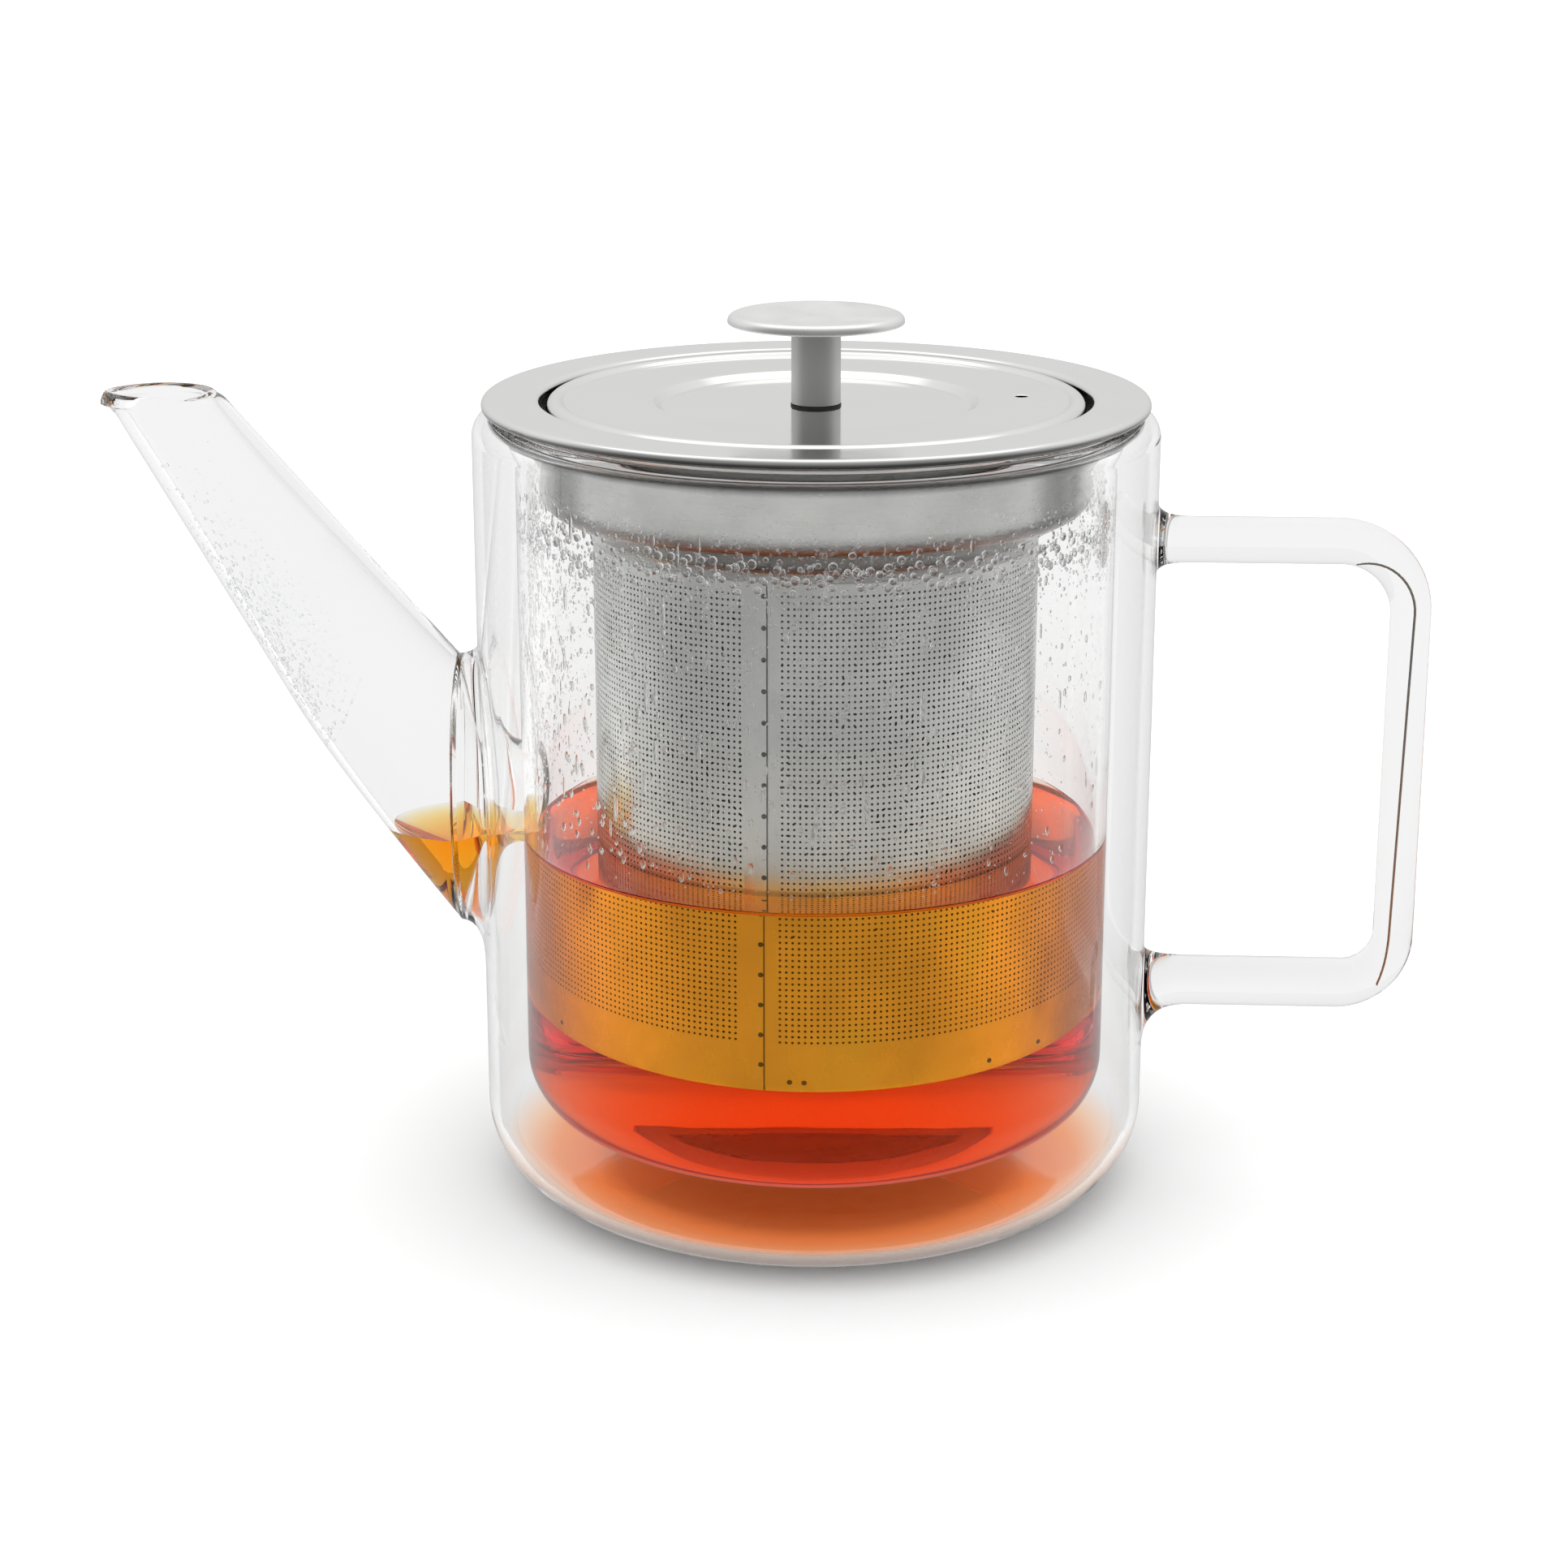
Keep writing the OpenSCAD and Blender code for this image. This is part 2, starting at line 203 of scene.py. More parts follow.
class Shape:
    """Points and faces collected for one mesh."""

    def __init__(self):
        self.points = []
        self.faces = []

    def ring(self, points):
        start = len(self.points)
        self.points.extend(points)
        return list(range(start, start + len(points)))

    def skin(self, a, b):
        for i in range(len(a)):
            j = (i + 1) % len(a)
            self.faces.append((a[i], a[j], b[j], b[i]))

    def fan(self, ring, point):
        centre = self.ring([point])[0]
        for i in range(len(ring)):
            self.faces.append((ring[i], ring[(i + 1) % len(ring)], centre))

    def tube(self, start, rings, end=None):
        """Skins from a ring already made, through new rings of points, to another made ring."""
        last = start
        for points in rings:
            new = self.ring(points)
            self.skin(last, new)
            last = new
        if end is not None:
            self.skin(last, end)
        return last

    def capped(self, rings, start, end):
        """A tube through new rings that runs to a point at each end."""
        first = self.ring(rings[0])
        last = self.tube(first, rings[1:])
        self.fan(last, end)
        self.fan(first, start)


def rod(rings):
    """A tube through rings of points, closed by a flat face at each end."""
    shape = Shape()
    first = shape.ring(rings[0])
    last = shape.tube(first, rings[1:])
    shape.faces += [tuple(reversed(first)), tuple(last)]
    return shape


def lathe(shape, profile, columns=COLUMNS, ports=(), closed=False):
    """Turns a profile of (radius, height) points. Each port is a gap in the grid; gives back their edges."""
    rows = []
    for r, z in profile:
        rows.append(shape.ring([(0, 0, z)] if r < TINY else [on_round(t, z, r) for t in turns(columns)]))
    gaps = set()
    for low, high, middle, half in ports:
        for row in range(min(low, high), max(low, high)):
            gaps.update((row, (middle + k) % columns) for k in range(-half, half))
    pairs = list(zip(range(len(rows) - 1), range(1, len(rows))))
    if closed:
        pairs.append((len(rows) - 1, 0))
    for a, b in pairs:
        for c in range(columns):
            d = (c + 1) % columns
            if (a, c) in gaps:
                continue
            if len(rows[a]) == 1:
                shape.faces.append((rows[a][0], rows[b][d], rows[b][c]))
            elif len(rows[b]) == 1:
                shape.faces.append((rows[a][c], rows[a][d], rows[b][0]))
            else:
                shape.faces.append((rows[a][c], rows[a][d], rows[b][d], rows[b][c]))
    return [port_edge(rows, *port, columns) for port in ports]


def lathed(profile, columns=COLUMNS, closed=False):
    shape = Shape()
    lathe(shape, profile, columns, closed=closed)
    return shape


def port_edge(rows, low, high, middle, half, columns):
    """Indices round a rectangular gap: along the low row, up, back along the high row and down."""
    facing = -1 if middle == columns // 2 else 1
    step = 1 if high > low else -1

    def at(row, k):
        return rows[row][(middle + facing * k) % columns]

    edge = [at(low, k) for k in range(-half, half)]
    edge += [at(row, half) for row in range(low, high, step)]
    edge += [at(high, k) for k in range(half, -half, -1)]
    edge += [at(row, -half) for row in range(high, low, -step)]
    return edge


def edge_angles(shape, edge):
    """Angle of each edge point round the gap's middle, with the gap scaled to a square."""
    ys = [shape.points[i][1] for i in edge]
    zs = [shape.points[i][2] for i in edge]
    mid_z, half_z = (max(zs) + min(zs)) / 2, (max(zs) - min(zs)) / 2
    half_y = max(ys)
    return [atan2((z - mid_z) / half_z, y / half_y) for y, z in zip(ys, zs)]


def round_wall(radius, side):
    """Gives the x of a round wall at each y; side is 1 at the handle and -1 at the spout."""
    return lambda y: side * sqrt(radius * radius - y * y)


def leaving_wall(radius, x, share):
    """The same for a surface that goes over from the round wall at share 0 to the flat -x at share 1."""
    return lambda y: -mix(sqrt(radius * radius - y * y), x, share)


def oval(angles, size, x_at):
    """A ring of (half width, half height, middle height), with the x of each point given by x_at(y)."""
    half_w, half_h, mid_z = size
    return [(x_at(half_w * cos(a)), half_w * cos(a), mid_z + half_h * sin(a)) for a in angles]


def flat_oval(angles, size, x):
    return oval(angles, size, lambda y: x)


def narrow(shape, edge, angles, size, x_at, steps):
    """Fills the gap between a grid edge and an oval with rings on the wall; gives back the oval."""
    start = [shape.points[i] for i in edge]
    target = oval(angles, size, x_at)
    rings = []
    for s in shares(steps)[1:]:
        ring = [mix_points(a, b, s) for a, b in zip(start, target)]
        rings.append([(x_at(y), y, z) for _, y, z in ring])
    return shape.tube(edge, rings)


def mesh_piece(name, shapes, look, body, replaced=(), sharp=40, flip=()):
    """Joins shapes into one smooth object in metres. Shapes listed in flip are hollows."""
    whole = bmesh.new()
    for k, shape in enumerate(shapes):
        points = [whole.verts.new(Vector(p) * MM) for p in shape.points]
        faces = [whole.faces.new([points[i] for i in face]) for face in shape.faces]
        bmesh.ops.recalc_face_normals(whole, faces=faces)
        if k in flip:
            bmesh.ops.reverse_faces(whole, faces=faces)
    loose = [v for v in whole.verts if not v.link_faces]
    bmesh.ops.delete(whole, geom=loose, context="VERTS")
    mesh = bpy.data.meshes.new(name)
    whole.to_mesh(mesh)
    whole.free()
    mesh.shade_smooth()
    mesh.set_sharp_from_angle(angle=radians(sharp))
    mesh.materials.append(look.holder)
    piece = bpy.data.objects.new(name, mesh)
    bpy.context.scene.collection.objects.link(piece)
    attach(piece, body)
    if replaced:
        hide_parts(*replaced)
    return piece


# ---- Materials
GLASS_IOR = 1.47
WATER_IOR = 1.333
# How much of a clear surface's own reflection is kept.
GLASS_MIRROR = 0.06
TEA_MIRROR = 0.15


def colour(value):
    """A plain number stands for a grey."""
    return value if isinstance(value, tuple) else (value, value, value)


def steel_grey(value):
    return (value, value, value * 0.985)


class Look:
    """A material, or the world, with short calls to add and link its nodes."""

    def __init__(self, holder):
        holder.use_nodes = True
        self.holder = holder
        self.nodes = holder.node_tree.nodes
        self.links = holder.node_tree.links
        self.shader = self.nodes.get("Principled BSDF")

    def feed(self, node, inputs):
        """Links outputs to a node's inputs, or sets the inputs' own values."""
        for name, value in inputs.items():
            socket = node.inputs[name]
            if isinstance(value, bpy.types.NodeSocket):
                self.links.new(value, socket)
            elif socket.type == "RGBA":
                socket.default_value = (*colour(value), 1)
            else:
                socket.default_value = value

    def node(self, kind, inputs, **settings):
        """Adds a node and gives back its outputs."""
        node = self.nodes.new("ShaderNode" + kind)
        for name, value in settings.items():
            setattr(node, name, value)
        self.feed(node, inputs)
        return node.outputs

    def place(self, space="Object"):
        return self.node("TexCoord", {})[space]

    def axis(self, name, space="Object"):
        return self.node("SeparateXYZ", {"Vector": self.place(space)})[name]

    def noise(self, scale, detail, stretch=(1, 1, 1)):
        """A noise texture on object coordinates, stretched where asked."""
        place = self.node("Mapping", {"Vector": self.place(), "Scale": stretch})["Vector"]
        return self.node("TexNoise", {"Vector": place, "Scale": scale, "Detail": detail})["Fac"]

    def ramp(self, source, stops):
        node = self.nodes.new("ShaderNodeValToRGB")
        points = node.color_ramp.elements
        while len(points) < len(stops):
            points.new(0.5)
        for point, (place, value) in zip(points, stops):
            point.position = place
            point.color = (*colour(value), 1)
        self.feed(node, {"Fac": source})
        return node.outputs["Color"]

    def gradient(self, source, low, high, stops):
        """A ramp along a value that runs from low to high."""
        share = self.node("MapRange", {"Value": source, "From Min": low, "From Max": high})["Result"]
        return self.ramp(share, stops)

    def choose(self, factor, off, on, kind="MIX"):
        return self.node("Mix", {0: factor, 6: off, 7: on}, data_type="RGBA", blend_type=kind)[2]

    def times(self, a, b):
        return self.choose(1, a, b, "MULTIPLY")

    def deeper(self, depth, limit):
        """One where a depth of the light path is above a limit, else zero."""
        reached = self.node("LightPath", {})[depth]
        return self.node("Math", {0: reached, 1: limit}, operation="GREATER_THAN")["Value"]

    def bump(self, height, strength, distance):
        bumps = self.node("Bump", {"Height": height, "Strength": strength, "Distance": distance})
        self.feed(self.shader, {"Normal": bumps["Normal"]})

    def tint(self, factor):
        """Multiplies the base colour, which is linked already."""
        before = self.shader.inputs["Base Color"].links[0].from_socket
        self.feed(self.shader, {"Base Color": self.times(before, factor)})

    def shade(self, axis, low, high, stops):
        """Tints along one axis of the piece, the same on both sides of zero."""
        size = self.node("Math", {0: self.axis(axis)}, operation="ABSOLUTE")["Value"]
        self.tint(self.gradient(size, low, high, stops))

    def cloud(self, scale, low, high):
        self.tint(self.ramp(self.noise(scale, 3), [(0.35, steel_grey(low)), (0.65, steel_grey(high))]))


def new_look(name):
    return Look(bpy.data.materials.new(name))


def clear_look(name, ior, mirror, grain, detail, dim, bright):
    """Smooth and clear: its colour wanders from dim to bright, and mirror scales what it reflects."""
    look = new_look(name)
    tone = look.ramp(look.noise(grain, detail), [(0.3, dim), (0.7, bright)])
    look.feed(look.shader, {"Transmission Weight": 1, "IOR": ior, "Roughness": 0, "Specular Tint": mirror,
                            "Base Color": tone})
    return look


def glass_look():
    look = clear_look("clear_glass", GLASS_IOR, GLASS_MIRROR, 25, 2, (0.988, 0.991, 0.988), 0.998)
    look.bump(look.noise(60, 1, (1, 1, 0.35)), 0.12, 0.0006)
    return look


def tea_look(name, passed, density):
    """Clear at its surface; its depth takes away what the passed colour lacks."""
    look = clear_look(name, WATER_IOR, TEA_MIRROR, 18, 2, (1, 0.985, 0.96), 1)
    depth = look.node("VolumeAbsorption", {"Color": passed, "Density": density})
    look.feed(look.nodes["Material Output"], {"Volume": depth["Volume"]})
    return look


def steel_look(name, tone, roughness, grain, stretch=(1, 1, 1), streak=0.04, dents=0.08):
    """Stainless steel: tone and roughness wander a little, with fine grain along one direction."""
    look = new_look(name)
    look.feed(look.shader, {"Metallic": 1})
    wander = look.noise(grain, 5, stretch)
    dark, light = steel_grey(tone * (1 - streak)), steel_grey(tone * (1 + streak))
    smooth, rough = steel_grey(roughness * 0.75), steel_grey(roughness * 1.3)
    look.feed(look.shader, {"Base Color": look.ramp(wander, [(0.3, dark), (0.7, light)]),
                            "Roughness": look.ramp(wander, [(0.25, smooth), (0.75, rough)])})
    look.bump(wander, dents, 0.00005)
    return look


def sleeve_look():
    """Perforated sheet: tinted warm where it stands in the tea, greyer and darker towards the top, clouded,
    and darker towards its sides as painted shade.
    """
    look = steel_look("filter_steel", 0.98, 0.27, 160, (1, 1, 0.4), 0.05, 0.1)
    wet = (1.0, 0.8, 0.68)
    height = [(0.0, wet), (0.49, wet), (0.53, (0.82, 0.79, 0.74)), (0.72, 0.7), (0.95, 0.62)]
    look.shade("Z", 0, 0.14, height)
    ring = (TEA_Z - 4) * MM
    look.shade("Z", ring, ring + 0.01, [(0.36, 1.0), (0.42, 0.6), (0.48, 0.6), (0.54, 1.0)])
    # Painted shade towards both sides of the sheet.
    sides = [(0.0, 0.95), (0.45, 1.0), (0.65, 1.03), (0.8, 0.98), (0.92, 0.78), (0.96, 0.6), (1.0, 0.5)]
    look.shade("X", 0, SLEEVE_R * MM, sides)
    look.cloud(38, 0.86, 1.12)
    return look


def neck_look():
    """Satin steel, darker near both sides and on the lower turn as painted shade, with a painted shadow
    under the collar at the top.
    """
    look = steel_look("neck_steel", 0.84, 0.24, 120, (1, 1, 6), 0.04, 0.06)
    # Painted shade towards both sides.
    painted_side_shade = [(0.0, 1.0), (0.6, 0.98), (0.74, 0.7), (0.8, 0.34), (0.84, 0.22), (0.9, 0.22), (0.95, 0.55)]
    painted_side_shade.append((1.0, 0.75))
    look.shade("X", 0, 0.0526, painted_side_shade)
    # Painted shade on the lower turn, and a painted shadow under the collar at the top.
    turn = [(0.0, 0.5), (0.42, 0.42), (0.54, 0.9), (0.7, 0.95), (0.84, 0.95), (0.92, 0.45), (1.0, 0.3)]
    look.shade("Z", 0.128, 0.15, turn)
    look.cloud(60, 0.9, 1.08)
    return look


def collar_look():
    """Polished steel, darkened on the underside of its rolled edge as painted shade."""
    look = steel_look("collar_steel", 0.80, 0.12, 40, streak=0.012, dents=0.03)
    # Painted shade under the rolled edge.
    look.shade("Z", (COLLAR_Z - 2) * MM, COLLAR_Z * MM, [(0.0, 0.22), (0.42, 0.3), (0.62, 0.9), (0.75, 1.0)])
    return look


def rubber_look():
    look = new_look("black_rubber")
    speckle = look.ramp(look.noise(900, 3), [(0.3, steel_grey(0.012)), (0.7, steel_grey(0.03))])
    look.feed(look.shader, {"Base Color": speckle, "Roughness": 0.6})
    return look


def painted_refraction_look():
    """Painted refraction of the pot in the handle's rod: grey at the top of the grip, amber towards the tea.
    """
    look = new_look("painted_refraction_line")
    tones = [(0.0, (0.4, 0.16, 0.07)), (0.35, (0.28, 0.16, 0.1)), (0.7, (0.16, 0.15, 0.14)),
             (1.0, (0.2, 0.16, 0.11))]
    along = look.gradient(look.axis("Z"), 0.04, 0.13, tones)
    look.feed(look.shader, {"Base Color": along, "Roughness": 0.5})
    return look


GLASS = glass_look()
PAINTED_REFRACTION = painted_refraction_look()
WATER = clear_look("water_drops", WATER_IOR, 1, 90, 1, (0.98, 0.99, 1), 1)
TEA = tea_look("tea", (0.999, 0.909, 0.52), 300)
SPOUT_TEA = tea_look("tea_in_spout", (0.999, 0.875, 0.45), 400)
POLISHED = steel_look("polished_steel", 0.80, 0.09, 40, streak=0.012, dents=0.03)
BRUSHED = steel_look("brushed_steel", 0.53, 0.38, 300, (1, 1, 0.05), 0.05)
KNOB_STEEL = steel_look("knob_steel", 0.84, 0.3, 120, streak=0.02, dents=0.04)
NECK_STEEL = neck_look()
COLLAR_STEEL = collar_look()
FILTER_STEEL = sleeve_look()
# Dark steel for the painted shade inside the sleeve.
INSIDE_SHADE_STEEL = steel_look("inside_painted_shade", 0.16, 0.4, 160, (1, 1, 0.4), 0.2, 0.1)
WELD_STEEL = steel_look("weld_steel", 0.2, 0.35, 900, streak=0.2, dents=0.3)
BASE_STEEL = steel_look("base_steel", 0.22, 0.3, 160, streak=0.3, dents=0.2)
RUBBER = rubber_look()


# ---- Glass body
# Gaps in a wall's grid: lowest and highest height, middle column, and half the width in columns.
SPOUT_GRID = (33.6, 112.8, COLUMNS // 2, 18)
TOP_GRID = (116.4, 140.4, 0, 7)
LOW_GRID = (24.0, 48.0, 0, 7)
FUNNEL_STEPS = 16
PAD_STEPS = 14
PAD_REACH = 8
LOW_PAD_REACH = 10
BEND_STEPS = 18
GRIP_STEPS = 12
LINE_R = 0.16


def wall_up(radius):
    return [(radius, WALL_LOW + WALL_PITCH * k) for k in range(WALL_ROWS + 1)]


def wall_down(radius):
    """The vessel's wall, from the top down to its rounded edge."""
    return wall_up(radius)[VESSEL_ROW:][::-1]


def outer_profile():
    """Base, foot, outer wall, shoulder, rim, bore and vessel floor: every face that meets the open air."""
    points = [(0, 1.0), (3, 0.95), (4.4, 0.6), (5.2, 0.35), (6.4, 0.6), (9, 0.75), (24, 0.6), (30, 0.2)]
    points += [(36, 0.02), (42, 0.0)] + arc(FOOT_X, FOOT_R, FOOT_R, -90, 0, 20) + wall_up(BODY_R)
    points += arc(CROWN_X, SHOULDER_Z, SHOULDER_R, 0, 80, 10)
    points += [(CROWN_X - 1.1, RIM_Z - 1.5), (CROWN_X - 1.45, RIM_Z - 0.8), (CROWN_X - 1.9, RIM_Z - 0.15)]
    points += [(CROWN_X - 2.4, RIM_Z), (VESSEL_R, RIM_Z)] + arc(BORE_R + 1, RIM_Z - 1, 1, 90, 180, 6)
    points += wall_down(BORE_R) + arc(EDGE_X, EDGE_Z, VESSEL_EDGE_R - GLASS_T, 0, -90, 16)
    points += [(r, VESSEL_Z + GLASS_T) for r in (38, 30, 20, 10, 0)]
    return points


def cavity_profile():
    """The closed space between the two walls. The vessel's underside is domed a little."""
    points = [(0, 4.2), (3, 4.0), (5, 3.0), (7, 2.3), (12, 2.1), (24, 2.1), (36, 2.0)]
    points += arc(FOOT_X, FOOT_R, FOOT_R - GLASS_T, -90, 0, 20) + wall_up(CAVITY_R)
    points += arc(CROWN_X, SHOULDER_Z, SHOULDER_R - GLASS_T, 0, 90, 8)
    points += arc(VESSEL_R + 2, SHOULDER_Z, 2, 90, 180, 8)
    points += wall_down(VESSEL_R) + arc(EDGE_X, EDGE_Z, VESSEL_EDGE_R, 0, -90, 16)
    for r in (41, 37, 33, 29, 25, 20, 15, 10, 5, 0):
        points.append((r, VESSEL_Z + FLOOR_DOME * (1 - (r / EDGE_X) ** 2)))
    return points


def wall_port(profile, radius, low_z, high_z, middle, half):
    """A gap in a wall's grid, as lathe() takes it."""
    rows = [i for i, p in enumerate(profile) if abs(p[0] - radius) < TINY]
    low, high = (min(rows, key=lambda i: abs(profile[i][1] - z)) for z in (low_z, high_z))
    return low, high, middle, half


def joint_size(inset):
    return (JOINT_HALF_W - inset, JOINT_HALF_H - inset, JOINT_Z)


def socket_rings(angles, radius, root, joint, joint_x, steps, lift):
    """From the wide root on a round wall to the flat joint: leaves the wall smoothly, ends square to it."""
    rings = []
    for t in steps:
        size = mix_points(root, joint, 1 - (1 - t) ** 1.7)
        rings.append(oval(angles, size, leaving_wall(radius, joint_x, t ** lift)))
    return rings


def joint_rings(angles):
    """The socket's end face, with its two edges rounded."""
    edge, soft = JOINT_EDGE, JOINT_EDGE * 0.3
    steps = ((0, edge), (soft, soft), (edge, 0), (JOINT_WALL - edge, 0), (JOINT_WALL, edge))
    return [flat_oval(angles, joint_size(inset), dip - JOINT_X) for inset, dip in steps]


def funnel_rings(angles, start_x, wide, wall_x, port):
    """Trumpet from the wide end at start_x to a round port on a round wall of radius wall_x."""
    rings = []
    for s in shares(FUNNEL_STEPS)[-2:0:-1]:
        rings.append(oval(angles, mix_points(port, wide, s ** 2.3), leaving_wall(wall_x, start_x, s)))
    return rings


def rod_ring(angles, x, z, heading, across, deep, wrap=0.0):
    """One ring of the handle. wrap bends the ring round the body's wall."""
    turn = radians(heading)
    ring = []
    for a in angles:
        y, out = across * cos(a), deep * sin(a)
        dip = wrap * (BODY_R - sqrt(BODY_R * BODY_R - y * y))
        ring.append((x - out * sin(turn) - dip, y, z + out * cos(turn)))
    return ring


def top_bend(s):
    """Place and heading along the top corner, from the arm at 0 to the grip at 1."""
    turn = radians(90 * s)
    x = GRIP_X - TOP_BEND_R + TOP_BEND_R * sin(turn)
    return x, HANDLE_TOP_Z - TOP_BEND_R + TOP_BEND_R * cos(turn), -90 * s


def grip(s):
    return GRIP_X, mix(HANDLE_TOP_Z - TOP_BEND_R, HANDLE_LOW_Z + LOW_BEND_R, s), -90


def low_bend(s):
    """The same for the low corner, from the grip at 0 to the arm at 1."""
    turn = radians(90 * s)
    x = GRIP_X - LOW_BEND_R + LOW_BEND_R * cos(turn)
    return x, HANDLE_LOW_Z + LOW_BEND_R - LOW_BEND_R * sin(turn), -90 - 90 * s


def handle_rings(angles):
    """Flared root, arm, corner, grip, corner, arm and the lower root, which trails down the wall."""
    rings = []
    for s in shares(PAD_STEPS)[1:]:
        wide, tall, z = mix_points((ARM_R, ARM_R, HANDLE_TOP_Z), TOP_ROOT, (1 - s) ** 3)
        rings.append(rod_ring(angles, BODY_R + PAD_REACH * s ** 1.6, z, 0, wide, tall, 1 - s))
    arm = shares(6)[1:-1]
    places = [(mix(BODY_R + PAD_REACH, GRIP_X - TOP_BEND_R, s), HANDLE_TOP_Z, 0, ARM_R) for s in arm]
    places += [(*top_bend(s), mix(ARM_R, GRIP_R, s)) for s in shares(BEND_STEPS)]
    places += [(*grip(s), GRIP_R) for s in shares(GRIP_STEPS)[1:-1]]
    places += [(*low_bend(s), mix(GRIP_R, LOW_ARM_R, s)) for s in shares(BEND_STEPS)]
    for s in arm:
        places.append((mix(GRIP_X - LOW_BEND_R, BODY_R + LOW_PAD_REACH, s), HANDLE_LOW_Z, -180, LOW_ARM_R))
    rings += [rod_ring(angles, x, z, heading, r, r) for x, z, heading, r in places]
    for s in shares(PAD_STEPS)[:1:-1]:
        wide, tall, z = mix_points((LOW_ARM_R, LOW_ARM_R, HANDLE_LOW_Z), LOW_ROOT, (1 - s) ** 2.6)
        rings.append(rod_ring(angles, BODY_R + LOW_PAD_REACH * s ** 1.6, z, -180, wide, tall, 1 - s))
    return rings


def glass_skin():
    """Walls, spout socket, port and handle: one face that meets the open air all over."""
    skin = Shape()
    profile = outer_profile()
    places = ((BODY_R, SPOUT_GRID), (BORE_R, SPOUT_GRID), (BODY_R, TOP_GRID), (BODY_R, LOW_GRID))
    ports = [wall_port(profile, radius, *grid) for radius, grid in places]
    socket_edge, bore_edge, top_edge, low_edge = lathe(skin, profile, ports=ports)
    angles = edge_angles(skin, socket_edge)
    start = narrow(skin, socket_edge, angles, SOCKET_ROOT, round_wall(BODY_R, -1), 6)
    end = narrow(skin, bore_edge, angles, PORT, round_wall(BORE_R, -1), 16)
    steps = (0.12, 0.24, 0.36, 0.48, 0.6, 0.71, 0.81, 0.89, 0.95, 0.985)
    rings = socket_rings(angles, BODY_R, SOCKET_ROOT, joint_size(0), JOINT_X, steps, 2.6)
    rings += joint_rings(angles)
    rings += funnel_rings(angles, JOINT_X - JOINT_EDGE, joint_size(JOINT_WALL), BORE_R + 0.6, PORT)
    skin.tube(start, rings, end)
    angles = edge_angles(skin, top_edge)
    start = narrow(skin, top_edge, angles, TOP_ROOT, round_wall(BODY_R, 1), 4)
    end = narrow(skin, low_edge, angles, LOW_ROOT, round_wall(BODY_R, 1), 4)
    partner = [min(range(len(angles)), key=lambda j: abs(remainder(angles[j] + a, TAU))) for a in angles]
    skin.tube(start, handle_rings(angles), [end[j] for j in partner])
    return skin


def glass_hollow():
    """The closed space between the walls, pierced by the funnel."""
    hollow = Shape()
    profile = cavity_profile()
    ports = [wall_port(profile, radius, *SPOUT_GRID) for radius in (CAVITY_R, VESSEL_R)]
    outer_edge, vessel_edge = lathe(hollow, profile, ports=ports)
    angles = edge_angles(hollow, outer_edge)
    start = narrow(hollow, outer_edge, angles, HOLLOW_ROOT, round_wall(CAVITY_R, -1), 6)
    end = narrow(hollow, vessel_edge, angles, HOLLOW_PORT, round_wall(VESSEL_R, -1), 16)
    steps = (0.15, 0.3, 0.45, 0.6, 0.73, 0.84, 0.93, 0.98)
    rings = socket_rings(angles, CAVITY_R, HOLLOW_ROOT, joint_size(1.2), CREASE_X, steps, 2.4)
    rings += [flat_oval(angles, joint_size(inset), dip - CREASE_X) for inset, dip in ((1.3, 0), (1.6, 0.3))]
    rings += funnel_rings(angles, CREASE_X - 0.3, joint_size(1.6), VESSEL_R + 0.5, HOLLOW_PORT)
    hollow.tube(start, rings, end)
    return hollow


def glass_body():
    """Both walls, the funnel between them, the spout's socket and the handle: one fused piece of glass."""
    nodes = ("outer_glass", "inner_glass", "spout_funnel", "spout_socket", "handle", "base_seal")
    shapes = [glass_skin(), glass_hollow()]
    mesh_piece("glass_body", shapes, GLASS, "pot", nodes, sharp=60, flip=(1,))


def grip_painted_refraction():
    """A fine dark line inside the rod, painted in place of the pot and tea seen refracted through it, from
    the top corner's inner side down to the low corner.
    """
    places = [(*top_bend(mix(0.2, 1, s)), mix(-0.72, 0.14, 1 - (1 - s) ** 2)) for s in shares(14)]
    places += [(*grip(s), mix(0.14, -0.12, s)) for s in shares(GRIP_STEPS)[1:-1]]
    places += [(*low_bend(0.6 * s), mix(-0.12, 0.5, s ** 2)) for s in shares(8)]
    rings = []
    for x, z, heading, aside in places:
        turn = radians(heading)
        x, z = x - GRIP_R * aside * sin(turn), z + GRIP_R * aside * cos(turn)
        rings.append(rod_ring(turns(8), x, z, heading, LINE_R, LINE_R))
    mesh_piece("grip_painted_refraction", [rod(rings)], PAINTED_REFRACTION, "pot", sharp=60)


# ---- Spout
SPOUT_SIDES = 144
SPOUT_STEPS = 90
LIP_PINCH = 0.22
LIP_RISE = 0.95
RIM_RISE = 0.72


def bow(a, b, c, t):
    return mix_points(mix_points(a, b, t), mix_points(b, c, t), t)


def lower_edge(t):
    """Underside of the spout in its middle plane, from the mouth at 0 to the joint at 1."""
    if t < LIP_T:
        return bow(LIP, LIP_PULL, LIP_ROOT, t / LIP_T)
    if t < SWEEP_T:
        return mix_points(LIP_ROOT, SWEEP_START, (t - LIP_T) / (SWEEP_T - LIP_T))
    return bow(SWEEP_START, SWEEP_PULL, (-JOINT_X, JOINT_Z - JOINT_HALF_H), (t - SWEEP_T) / (1 - SWEEP_T))


def spout_wall(t):
    return mix(SPOUT_WALL, JOINT_WALL, t)


